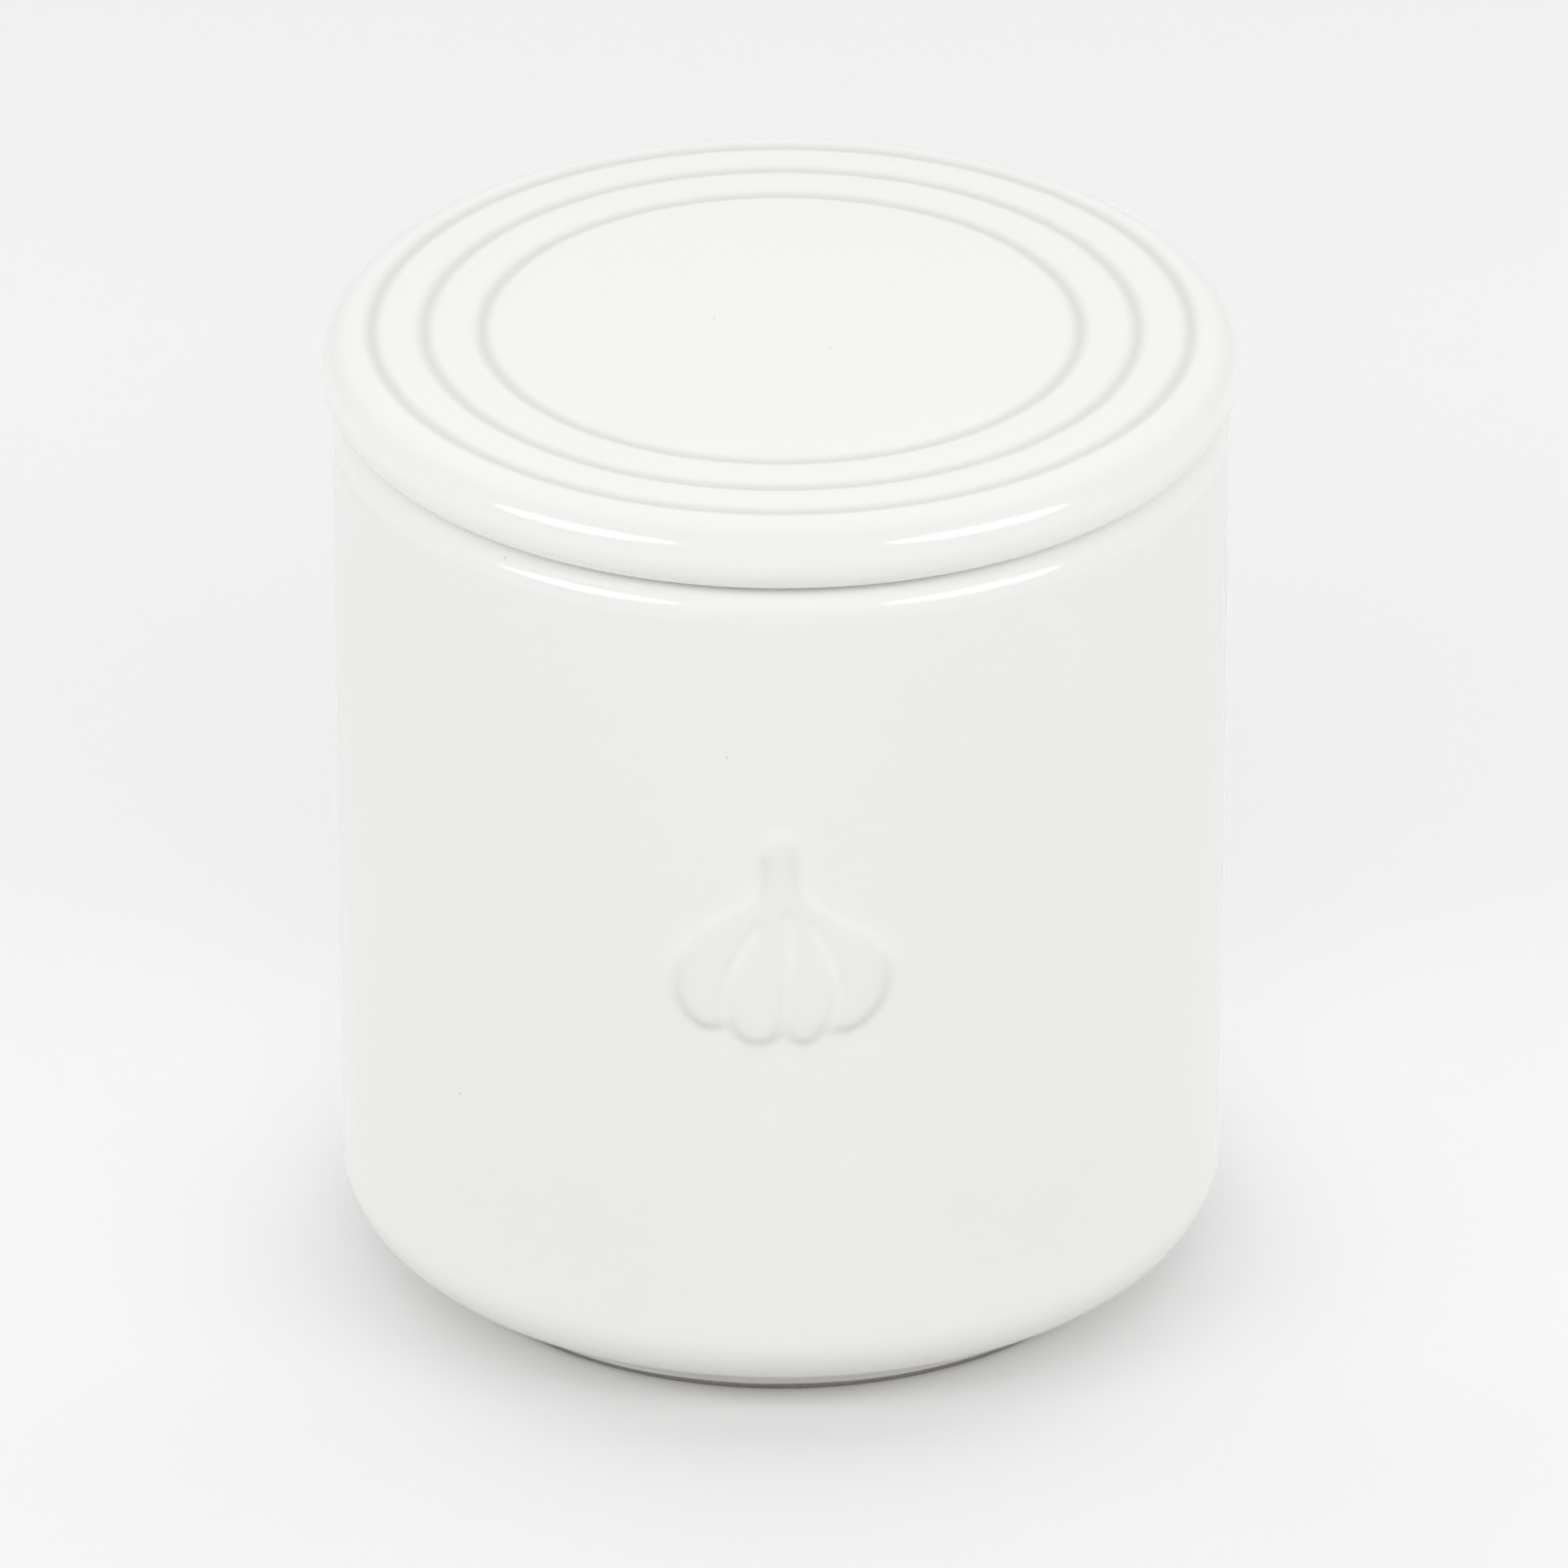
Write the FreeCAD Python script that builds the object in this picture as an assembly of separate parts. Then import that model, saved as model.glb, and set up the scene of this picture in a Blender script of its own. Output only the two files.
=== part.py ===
"""Garlic keeper: a footed stoneware crock with air holes at the back, and its lift-off stoneware lid.

Millimetres, +Z up. The origin is the centre of the ring on which the foot stands. The front, which
carries the raised garlic bulb, faces -Y, and the air holes face +Y.
"""
import FreeCAD, Part
import math
import os

# ---------------------------------------------------------------- lid, outside
LID_RADIUS = 57.5          # widest point of the lid's rounded rim
LID_THICKNESS = 9.5        # from the seat on the crock to the lid's top face
RIM_ROUND_REACH = 5.2      # how far the rim's rounding runs inward from the widest point
RING_STEPS = (1.2, 6.6, 7.2)   # from the rim's rounding to the outer ring groove, then ring to ring
RING_WIDTH = 2.8           # width of a ring groove at the top face
RING_DEPTH = 0.6

# ---------------------------------------------------------------- lid, underside
COLLAR_CLEARANCE = 1.0     # gap round the collar in the crock's mouth
COLLAR_DEPTH = 12.0        # how far the collar hangs below the seat
COLLAR_WALL = 5.0
COLLAR_ROOT_ROUND = 0.8    # fillet between the collar and the flange above it
COLLAR_END_ROUND = 1.6
LID_PLATE = 7.0            # thickness of the lid's plate inside the collar
LID_RECESS_ROUND = 3.5     # fillet in the corner of the lid's recess

# ---------------------------------------------------------------- crock, outside
SEAT_HEIGHT = 117.7        # top of the crock's rim, on which the lid rests
LID_OVERHANG = 1.3         # how far the lid's rim stands proud of the crock
WALL_TAPER = 0.6           # loss of radius from the shoulder down to the bottom corner
SHOULDER_ROUND = 4.5       # outer rounding of the rim
CORNER_ROUND = 8.6         # rounding between the wall and the underside
UNDERSIDE_SLOPE = 13.0     # degrees, from the foot up to the bottom corner
FOOT_INSET = 12.4          # from the wall in to the foot's outer face
FOOT_HEIGHT = 3.8
FOOT_WIDTH = 4.4
FOOT_EDGE_ROUND = 0.5

# ---------------------------------------------------------------- crock, inside
WALL = 7.0
RIM_INNER_ROUND = 1.0
FLOOR = 7.0
BASE_RECESS = 2.6          # underside inside the foot ring, above the ground
INNER_CORNER_ROUND = 8.0

# ---------------------------------------------------------------- air holes
VENT_DIAMETER = 6.5
VENT_ROWS = 2
VENT_COLUMNS = 3
VENT_PITCH = 12.0          # centre to centre, both along the wall and up it
VENT_LIP_ROUND = 1.0
VENT_CLEARANCE = 0.65      # from the end of the lid's collar down to the upper row's lips

# ---------------------------------------------------------------- raised garlic bulb
BULB_DROP = 62.1           # from the rim down to the bulb's lowest point
BULB_RELIEF = 0.8          # how far the bulb stands out of the wall
BULB_ROOT = 1.0            # how far its solid is sunk in the wall to join it
GROOVE_WIDTH = 1.1         # grooves between the cloves
GROOVE_RELIEF = 0.3        # what is left of the relief in a groove

# The bulb's outline, right and up from the point under its middle at its lowest point.
STEM_LEFT = ((-2.1, 26.9), (-2.1, 20.9), (-4.9, 17.1), (-9.9, 14.1), (-12.4, 10.4), (-12.9, 7.0),
             (-12.1, 3.9), (-9.8, 2.0), (-7.1, 2.2))
LEFT_CLOVE_FOOT = ((-7.1, 2.2), (-4.9, 0.7), (-2.6, 0.0), (0.3, 0.9))
RIGHT_CLOVE_FOOT = ((0.3, 0.9), (2.7, 0.1), (5.3, 1.1))
STEM_RIGHT = ((5.3, 1.1), (8.7, 1.7), (12.0, 4.0), (13.5, 8.0), (12.6, 12.1), (8.3, 15.2),
              (4.7, 16.9), (2.1, 20.5), (1.6, 27.3))
STEM_TIP = ((1.6, 27.3), (0.7, 28.4), (-2.1, 26.9))
GROOVES = (((-2.4, 15.8), (-5.0, 11.2), (-6.7, 7.4), (-7.1, 2.6)),
           ((0.8, 17.0), (0.8, 9.0), (0.4, 1.2)),
           ((3.6, 16.4), (6.1, 12.0), (7.2, 7.0), (5.5, 1.5)))

# ---------------------------------------------------------------- worked out from the sizes above
RIM_ROUND_START = LID_RADIUS - RIM_ROUND_REACH
LID_TOP = SEAT_HEIGHT + LID_THICKNESS
WALL_TOP_RADIUS = LID_RADIUS - LID_OVERHANG
WALL_BOTTOM_RADIUS = WALL_TOP_RADIUS - WALL_TAPER
MOUTH_RADIUS = WALL_TOP_RADIUS - WALL
FOOT_RADIUS = WALL_BOTTOM_RADIUS - FOOT_INSET
FLOOR_TOP = BASE_RECESS + FLOOR
CORNER_HEIGHT = FOOT_HEIGHT + FOOT_INSET * math.tan(math.radians(UNDERSIDE_SLOPE))
COLLAR_RADIUS = MOUTH_RADIUS - COLLAR_CLEARANCE
COLLAR_BORE = COLLAR_RADIUS - COLLAR_WALL
COLLAR_END = SEAT_HEIGHT - COLLAR_DEPTH
VENT_TOP_ROW = COLLAR_END - VENT_CLEARANCE - VENT_LIP_ROUND - VENT_DIAMETER / 2
BULB_BASE = SEAT_HEIGHT - BULB_DROP


def turned(profile_edges):
    """A solid turned about Z from the closed profile that these edges make in the XZ plane."""
    face = Part.Face(Part.Wire(profile_edges))
    return face.revolve(FreeCAD.Vector(0, 0, 0), FreeCAD.Vector(0, 0, 1), 360)


def rounded_path(corners):
    """Edges through (radius, height, round) corners, each joined by a tangent arc of its round."""
    points = [FreeCAD.Vector(radius, 0, height) for radius, height, _ in corners]
    edges = []
    start = points[0]
    for index in range(1, len(corners) - 1):
        corner = points[index]
        round_radius = corners[index][2]
        if round_radius > 0:
            inward = (points[index - 1] - corner).normalize()
            outward = (points[index + 1] - corner).normalize()
            half_angle = inward.getAngle(outward) / 2
            reach = round_radius / math.tan(half_angle)
            centre_way = (inward + outward).normalize()
            arc_start = corner + inward * reach
            arc_end = corner + outward * reach
            arc_middle = corner + centre_way * (round_radius / math.sin(half_angle) - round_radius)
            edges.append(Part.LineSegment(start, arc_start).toShape())
            edges.append(Part.Arc(arc_start, arc_middle, arc_end).toShape())
            start = arc_end
        else:
            edges.append(Part.LineSegment(start, corner).toShape())
            start = corner
    edges.append(Part.LineSegment(start, points[-1]).toShape())
    return edges


def closed_on_axis(edges, bottom, top):
    """The path's edges with the stretch of the Z axis that closes them."""
    axis_edge = Part.LineSegment(FreeCAD.Vector(0, 0, top), FreeCAD.Vector(0, 0, bottom)).toShape()
    return edges + [axis_edge]


def wall_radius(height):
    """Radius of the crock's tapered outer wall at a height."""
    share = (SEAT_HEIGHT - height) / (SEAT_HEIGHT - CORNER_HEIGHT)
    return WALL_TOP_RADIUS - WALL_TAPER * share


# ---------------------------------------------------------------- crock
def crock_pot():
    """The pot: foot ring, sloping underside, wall, rounded rim and the hollow inside."""
    shoulder_round = min(SHOULDER_ROUND, WALL - 2 * RIM_INNER_ROUND)
    foot_edge_round = min(FOOT_EDGE_ROUND, FOOT_WIDTH / 3)
    corners = [
        (0, BASE_RECESS, 0),
        (FOOT_RADIUS - FOOT_WIDTH, BASE_RECESS, foot_edge_round),
        (FOOT_RADIUS - FOOT_WIDTH, 0, foot_edge_round),
        (FOOT_RADIUS, 0, foot_edge_round),
        (FOOT_RADIUS, FOOT_HEIGHT, foot_edge_round),
        (WALL_BOTTOM_RADIUS, CORNER_HEIGHT, CORNER_ROUND),
        (WALL_TOP_RADIUS, SEAT_HEIGHT, shoulder_round),
        (MOUTH_RADIUS, SEAT_HEIGHT, RIM_INNER_ROUND),
        (MOUTH_RADIUS - WALL_TAPER, FLOOR_TOP, INNER_CORNER_ROUND),
        (0, FLOOR_TOP, 0),
    ]
    return turned(closed_on_axis(rounded_path(corners), BASE_RECESS, FLOOR_TOP))


def vent_axes():
    """Point on the wall and outward direction of each air hole."""
    axes = []
    angle_step = VENT_PITCH / wall_radius(VENT_TOP_ROW)
    for row in range(VENT_ROWS):
        height = VENT_TOP_ROW - row * VENT_PITCH
        for column in range(VENT_COLUMNS):
            angle = (column - (VENT_COLUMNS - 1) / 2) * angle_step
            outward = FreeCAD.Vector(math.sin(angle), math.cos(angle), 0)
            axes.append((outward * wall_radius(height) + FreeCAD.Vector(0, 0, height), outward))
    return axes


def on_vent_lip(edge, axes):
    """Whether this edge is where an air hole breaks through the wall."""
    if edge.Curve.TypeId == "Part::GeomLine":
        return False
    radius = VENT_DIAMETER / 2
    for point, outward in axes:
        distances = [vertex.Point.distanceToLine(point, outward) for vertex in edge.Vertexes]
        on_this_hole = all(abs(distance - radius) < radius / 100 for distance in distances)
        near_the_wall = edge.CenterOfMass.dot(outward) > MOUTH_RADIUS / 2
        if on_this_hole and near_the_wall:
            return True
    return False


def with_vents(pot):
    """The pot with its air holes drilled through the back wall and their lips rounded."""
    axes = vent_axes()
    for point, outward in axes:
        drill = Part.makeCylinder(VENT_DIAMETER / 2, 4 * WALL, point - outward * 2 * WALL, outward)
        pot = pot.cut(drill)
    lips = [edge for edge in pot.Edges if on_vent_lip(edge, axes)]
    return pot.makeFillet(min(VENT_LIP_ROUND, WALL / 3), lips)


def front_point(point):
    """A point of the bulb's drawing, in the upright plane through the Z axis."""
    right, up = point
    return FreeCAD.Vector(right, 0, BULB_BASE + up)


def smooth_edge(points):
    """A smooth curve through points of the bulb's drawing."""
    curve = Part.BSplineCurve()
    curve.interpolate([front_point(point) for point in points])
    return curve.toShape()


def stroke_sides(points, width):
    """The two sides of a stroke of this width along a line of points."""
    left = []
    right = []
    for index, point in enumerate(points):
        before = points[max(index - 1, 0)]
        after = points[min(index + 1, len(points) - 1)]
        along = FreeCAD.Vector(after[0] - before[0], after[1] - before[1], 0).normalize()
        offset = width / 2
        left.append((point[0] - along.y * offset, point[1] + along.x * offset))
        right.append((point[0] + along.y * offset, point[1] - along.x * offset))
    return left, right


def pushed_forward(edges):
    """A prism from the upright plane through the Z axis to beyond the front of the wall."""
    face = Part.Face(Part.Wire(edges))
    return face.extrude(FreeCAD.Vector(0, -2 * WALL_TOP_RADIUS, 0))


def wall_skin(proud, deep):
    """A shell that follows the wall, from deep inside it to proud of it."""
    base = FreeCAD.Vector(0, 0, CORNER_HEIGHT)
    height = SEAT_HEIGHT - CORNER_HEIGHT
    outer = Part.makeCone(WALL_BOTTOM_RADIUS + proud, WALL_TOP_RADIUS + proud, height, base)
    inner = Part.makeCone(WALL_BOTTOM_RADIUS - deep, WALL_TOP_RADIUS - deep, height, base)
    return outer.cut(inner)


def groove_prism(points):
    """The prism of one groove between two cloves."""
    left, right = stroke_sides(points, GROOVE_WIDTH)
    ends = [
        Part.LineSegment(front_point(left[-1]), front_point(right[-1])).toShape(),
        Part.LineSegment(front_point(right[0]), front_point(left[0])).toShape(),
    ]
    return pushed_forward([smooth_edge(left), ends[0], smooth_edge(right[::-1]), ends[1]])


def garlic_bulb():
    """The raised bulb: stem and cloves as one pad on the wall, with grooves between the cloves."""
    sides = (STEM_LEFT, LEFT_CLOVE_FOOT, RIGHT_CLOVE_FOOT, STEM_RIGHT, STEM_TIP)
    prism = pushed_forward([smooth_edge(side) for side in sides])
    pad = prism.common(wall_skin(BULB_RELIEF, BULB_ROOT))
    groove_space = wall_skin(2 * BULB_RELIEF, -GROOVE_RELIEF)
    for points in GROOVES:
        pad = pad.cut(groove_prism(points).common(groove_space))
    return pad


def crock():
    """The whole crock, one piece of fired clay."""
    return with_vents(crock_pot()).fuse(garlic_bulb()).Solids[0]


# ---------------------------------------------------------------- lid
def rim_round():
    """The lid's rim: a half ellipse from the top face, out to the rim and back to the seat."""
    centre = FreeCAD.Vector(RIM_ROUND_START, 0, SEAT_HEIGHT + LID_THICKNESS / 2)
    half_thickness = FreeCAD.Vector(0, 0, LID_THICKNESS / 2)
    widest = centre + FreeCAD.Vector(RIM_ROUND_REACH, 0, 0)
    if RIM_ROUND_REACH > LID_THICKNESS / 2:
        ellipse = Part.Ellipse(widest, centre + half_thickness, centre)
    else:
        ellipse = Part.Ellipse(centre + half_thickness, widest, centre)
    ends = sorted([ellipse.parameter(centre - half_thickness), ellipse.parameter(centre + half_thickness)])
    arc = Part.ArcOfEllipse(ellipse, ends[0], ends[1])
    if arc.value((arc.FirstParameter + arc.LastParameter) / 2).x < centre.x:
        arc = Part.ArcOfEllipse(ellipse, ends[1], ends[0] + 2 * math.pi)
    return arc.toShape()


def lid_blank():
    """The lid before its ring grooves: plate, rounded rim, and the collar that enters the mouth."""
    roof = LID_TOP - LID_PLATE
    end_round = min(COLLAR_END_ROUND, COLLAR_WALL / 3)
    top_centre = FreeCAD.Vector(0, 0, LID_TOP)
    top_edge = Part.LineSegment(top_centre, FreeCAD.Vector(RIM_ROUND_START, 0, LID_TOP)).toShape()
    underside = [
        (RIM_ROUND_START, SEAT_HEIGHT, 0),
        (COLLAR_RADIUS, SEAT_HEIGHT, COLLAR_ROOT_ROUND),
        (COLLAR_RADIUS, COLLAR_END, end_round),
        (COLLAR_BORE, COLLAR_END, end_round),
        (COLLAR_BORE, roof, LID_RECESS_ROUND),
        (0, roof, 0),
    ]
    edges = [top_edge, rim_round()] + rounded_path(underside)
    return turned(closed_on_axis(edges, roof, LID_TOP))


def ring_groove(radius):
    """The cutter of one ring groove: a torus that dips into the lid's top face."""
    section = (RING_WIDTH ** 2 / 4 + RING_DEPTH ** 2) / (2 * RING_DEPTH)
    return Part.makeTorus(radius, section, FreeCAD.Vector(0, 0, LID_TOP + section - RING_DEPTH))


def lid():
    """The whole lid, one piece of fired clay, in its place on the crock."""
    shape = lid_blank()
    radius = RIM_ROUND_START
    for step in RING_STEPS:
        radius -= step
        shape = shape.cut(ring_groove(radius))
    return shape.Solids[0]


def main():
    """Write one STEP file per piece."""
    os.makedirs("parts", exist_ok=True)
    pieces = {"crock": crock(), "lid": lid()}
    for name, shape in pieces.items():
        shape.exportStep(os.path.join("parts", name + ".step"))
        volume_cm3 = round(shape.Volume / 1000, 1)
        print(name, shape.isValid(), len(shape.Solids), len(shape.Faces), volume_cm3, "cm3")


main()
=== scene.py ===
"""Garlic keeper in white glazed stoneware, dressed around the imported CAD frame.

The crock and its lid are surfaces worked out as whole arrays, and each takes the place of its CAD
node. Sizes are millimetres until a mesh is made. The frame's origin is the centre of the ring on
which the foot stands, +Z is up, and the raised garlic bulb faces -Y.
"""
import logging
import math
from collections.abc import Callable
from dataclasses import dataclass, field
from enum import Enum

import bpy
import numpy as np
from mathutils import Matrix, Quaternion, Vector

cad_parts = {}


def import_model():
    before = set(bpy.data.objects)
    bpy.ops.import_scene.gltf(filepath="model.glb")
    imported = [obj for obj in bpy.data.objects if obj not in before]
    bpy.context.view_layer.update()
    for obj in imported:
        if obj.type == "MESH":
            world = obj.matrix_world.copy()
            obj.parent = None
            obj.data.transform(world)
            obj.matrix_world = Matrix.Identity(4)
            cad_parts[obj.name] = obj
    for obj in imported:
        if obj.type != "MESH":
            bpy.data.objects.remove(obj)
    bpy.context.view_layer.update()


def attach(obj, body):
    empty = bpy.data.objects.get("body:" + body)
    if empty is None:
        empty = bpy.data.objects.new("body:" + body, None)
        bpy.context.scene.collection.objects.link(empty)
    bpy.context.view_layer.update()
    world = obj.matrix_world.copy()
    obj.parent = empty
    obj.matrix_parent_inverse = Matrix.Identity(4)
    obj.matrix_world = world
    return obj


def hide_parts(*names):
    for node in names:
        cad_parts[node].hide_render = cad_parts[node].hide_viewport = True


Array = np.ndarray
Line = tuple[tuple[float, float], ...]
MM = 0.001
SLACK = 1e-6
# One attribute holds thin glaze and painted shade, the other pooled glaze and painted light.
THIN_GLAZE_AND_SHADE = "glaze_thin_and_painted_shade"
POOLED_GLAZE_AND_LIGHT = "glaze_pool_and_painted_light"
# Glaze thins over an edge from the first bend on, and is as thin as it gets at the second, per mm.
THINS_FROM, THINNEST_FROM = 0.3, 1.2
LEAST_ARC_STEPS = 4
# Where a colour Mix node has its factor and its two colours going in, and the mixed one coming out.
MIX_FACTOR, MIX_A, MIX_B, MIX_COLOUR = 0, 6, 7, 2

log = logging.getLogger("garlic_keeper")


class Finish(Enum):
    """What covers a face of a piece; the value is its material's place on the piece."""

    GLAZE = 0
    BARE_CLAY = 1


# ---------------------------------------------------------------------------------------- curves
def unit(vector: Array) -> Array:
    """A vector of length one in the same direction."""
    return vector / np.linalg.norm(vector)


def smooth_rise(value: Array, low: float, high: float) -> Array:
    """Nought below low, one above high, and between them the smooth curve 3t^2 - 2t^3."""
    share = np.clip((value - low) / (high - low), 0, 1)
    return share * share * (3 - 2 * share)


def smooth_fall(value: Array, low: float, high: float) -> Array:
    """One below low, nought above high, and smooth between them."""
    return 1 - smooth_rise(value, low, high)


def bell(distance: Array, reach: float) -> Array:
    """One at no distance, and fallen by two thirds at the reach: e to minus the squared ratio."""
    return np.exp(-((distance / reach) ** 2))


def stepped(stops: tuple[float, ...], pitches: tuple[float, ...]) -> Array:
    """Values that rise from stop to stop in even steps, each stretch with its own largest step.

    Args:
        stops: the values that are met exactly, in order.
        pitches: the largest step in each stretch between two stops.

    Returns:
        All values, from the first stop to the last.
    """
    stretches = [
        np.linspace(low, high, math.ceil((high - low) / pitch - SLACK), endpoint=False)
        for low, high, pitch in zip(stops[:-1], stops[1:], pitches)
    ]
    return np.concatenate([*stretches, stops[-1:]])


def tangent_arc(before: Array, corner: Array, after: Array, radius: float, steps: int) -> Array:
    """Arc that rounds the corner between two straight lines.

    Its centre lies on the bisector, the radius over the sine of the half angle away from the corner.
    The radius vector turns evenly from one tangent point to the other: each is the sine-weighted
    blend of the first and the last.

    Args:
        before: a point of the first line.
        corner: where the lines meet.
        after: a point of the second line.
        radius: the arc's radius.
        steps: how many points the arc gets.

    Returns:
        The arc's points, one row each.
    """
    inward, outward = unit(before - corner), unit(after - corner)
    half_angle = math.acos(float(np.clip(inward @ outward, -1, 1))) / 2
    centre = corner + unit(inward + outward) * radius / math.sin(half_angle)
    reach = radius / math.tan(half_angle)
    first, last = corner + inward * reach - centre, corner + outward * reach - centre
    sweep = math.pi - 2 * half_angle
    share = np.linspace(0, 1, steps)[:, None]
    turned = np.sin((1 - share) * sweep) * first + np.sin(share * sweep) * last
    return centre + turned / math.sin(sweep)


def rounded_path(corners: Array, pitch: float, arc_pitch: float) -> Array:
    """Path through corners, each rounded by a tangent arc and joined by straight runs.

    Args:
        corners: rows of radius, height and rounding, the first and last being the path's ends.
        pitch: the largest step on a straight run.
        arc_pitch: the largest step on an arc of a quarter turn; any arc gets as many points.

    Returns:
        Points (radius, height) along the path, with none repeated.
    """
    spots, rounds = corners[:, :2], corners[:, 2]
    stretches = [spots[:1]]
    for spot in range(1, len(spots) - 1):
        if rounds[spot] > 0:
            steps = max(LEAST_ARC_STEPS, math.ceil(rounds[spot] * math.pi / 2 / arc_pitch))
            stretches.append(tangent_arc(*spots[spot - 1:spot + 2], rounds[spot], steps))
        else:
            stretches.append(spots[spot:spot + 1])
    stretches.append(spots[-1:])
    path = [stretches[0]]
    for here, there in zip(stretches[:-1], stretches[1:]):
        run = there[0] - here[-1]
        steps = max(1, math.ceil(float(np.linalg.norm(run)) / pitch))
        share = np.linspace(0, 1, steps + 1)[1:-1, None]
        path += [here[-1] + share * run, there]
    points = np.vstack(path)
    moved = np.linalg.norm(np.diff(points, axis=0), axis=1) > SLACK
    return points[np.concatenate([[True], moved])]


def smooth_curve(knots: Line, steps: int) -> Array:
    """Natural cubic spline through points.

    Its parameter is the summed chord length. The bends, its second derivatives, solve the usual
    tridiagonal system and are nought at both ends. A point is the linear blend of its two knots plus
    the cubic blend of their bends.

    Args:
        knots: the points that the curve passes through.
        steps: how many points it gets.

    Returns:
        Points along the curve, one row each.
    """
    spots = np.asarray(knots, float)
    gaps = np.linalg.norm(np.diff(spots, axis=0), axis=1)
    places = np.concatenate([[0.0], np.cumsum(gaps)])
    inner = np.arange(1, len(spots) - 1)
    system = np.eye(len(spots))
    system[inner, inner - 1], system[inner, inner + 1] = gaps[:-1], gaps[1:]
    system[inner, inner] = 2 * (gaps[:-1] + gaps[1:])
    load = np.zeros_like(spots)
    load[1:-1] = 6 * np.diff(np.diff(spots, axis=0) / gaps[:, None], axis=0)
    bends = np.linalg.solve(system, load)
    along = np.linspace(0, places[-1], steps)
    knot = np.clip(np.searchsorted(places, along, "right") - 1, 0, len(gaps) - 1)
    left = ((places[knot + 1] - along) / gaps[knot])[:, None]
    right = 1 - left
    bent = (left**3 - left) * bends[knot] + (right**3 - right) * bends[knot + 1]
    return left * spots[knot] + right * spots[knot + 1] + bent * (gaps[knot] ** 2)[:, None] / 6


def distance_to_line(points: Array, line: Array) -> Array:
    """Distance from each point to the nearest place on a line of many short segments.

    Each point's foot on a segment is the segment's start plus its span times the projected share,
    held between nought and one; the least of all distances counts.

    Args:
        points: one row each.
        line: the line's points, one row each.

    Returns:
        One distance for each point.
    """
    start, span = line[:-1], np.diff(line, axis=0)
    share = ((points[:, None] - start) * span).sum(-1) / (span**2).sum(-1)
    foot = start + np.clip(share, 0, 1)[..., None] * span
    return np.linalg.norm(points[:, None] - foot, axis=-1).min(1)


def is_inside(points: Array, line: Array) -> Array:
    """Whether points lie inside a closed line: a ray to the right crosses it an odd number of times.

    Args:
        points: one row each.
        line: the line's points, one row each, the last being the first again.

    Returns:
        True or false for each point.
    """
    across, up = points[:, :1], points[:, 1:]
    (x0, z0), (x1, z1) = line[:-1].T, line[1:].T
    rise = np.where(z1 == z0, 1.0, z1 - z0)
    crossed = ((z0 > up) != (z1 > up)) & (across < x0 + (up - z0) * (x1 - x0) / rise)
    return crossed.sum(1) % 2 == 1


def evened(values: Array, rows: Array, columns: Array, reach: float) -> Array:
    """Values on a grid evened out: each becomes the mean of all, weighted by a bell curve of distance.

    Args:
        values: one for each row and column.
        rows: the rows' places, in even steps.
        columns: the columns' places, in even steps.
        reach: the bell curve's standard deviation.

    Returns:
        The evened values.
    """
    def weights(places: Array) -> Array:
        """The weight of each place for each place, a row's weights adding up to one."""
        near = bell(places[:, None] - places, reach * math.sqrt(2))
        return near / near.sum(1, keepdims=True)

    return weights(rows) @ values @ weights(columns).T


def thin_over_edges(profile: Array) -> Array:
    """Share of thin glaze at each point of a profile, by how sharply it bulges out there.

    The bend is the turn between the two neighbouring steps over their mean length.

    Args:
        profile: rows of radius and height, with the piece to the left of its way.

    Returns:
        One share for each point, nought at both ends.
    """
    steps = np.diff(profile, axis=0)
    lengths = np.linalg.norm(steps, axis=1)
    before, after = steps[:-1] / lengths[:-1, None], steps[1:] / lengths[1:, None]
    turn = np.arcsin(np.clip(before[:, 0] * after[:, 1] - before[:, 1] * after[:, 0], -1, 1))
    bend = np.concatenate([[0], turn / ((lengths[:-1] + lengths[1:]) / 2), [0]])
    return np.clip((bend - THINS_FROM) / (THINNEST_FROM - THINS_FROM), 0, 1)


# ---------------------------------------------------------------------------------------- surfaces
def add_object(name: str, data: bpy.types.ID) -> bpy.types.Object:
    """Make an object of a mesh, a lamp or a camera, and put it into the scene.

    Args:
        name: the object's name.
        data: what it shows.

    Returns:
        The object.
    """
    made = bpy.data.objects.new(name, data)
    bpy.context.scene.collection.objects.link(made)
    return made


def quads_between(loops: Array) -> Array:
    """Corners of the faces between closed loops of numbered points, each loop a row of numbers."""
    beside = np.roll(loops, -1, axis=1)
    return np.stack([loops[:-1], beside[:-1], beside[1:], loops[1:]], axis=-1)


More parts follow.
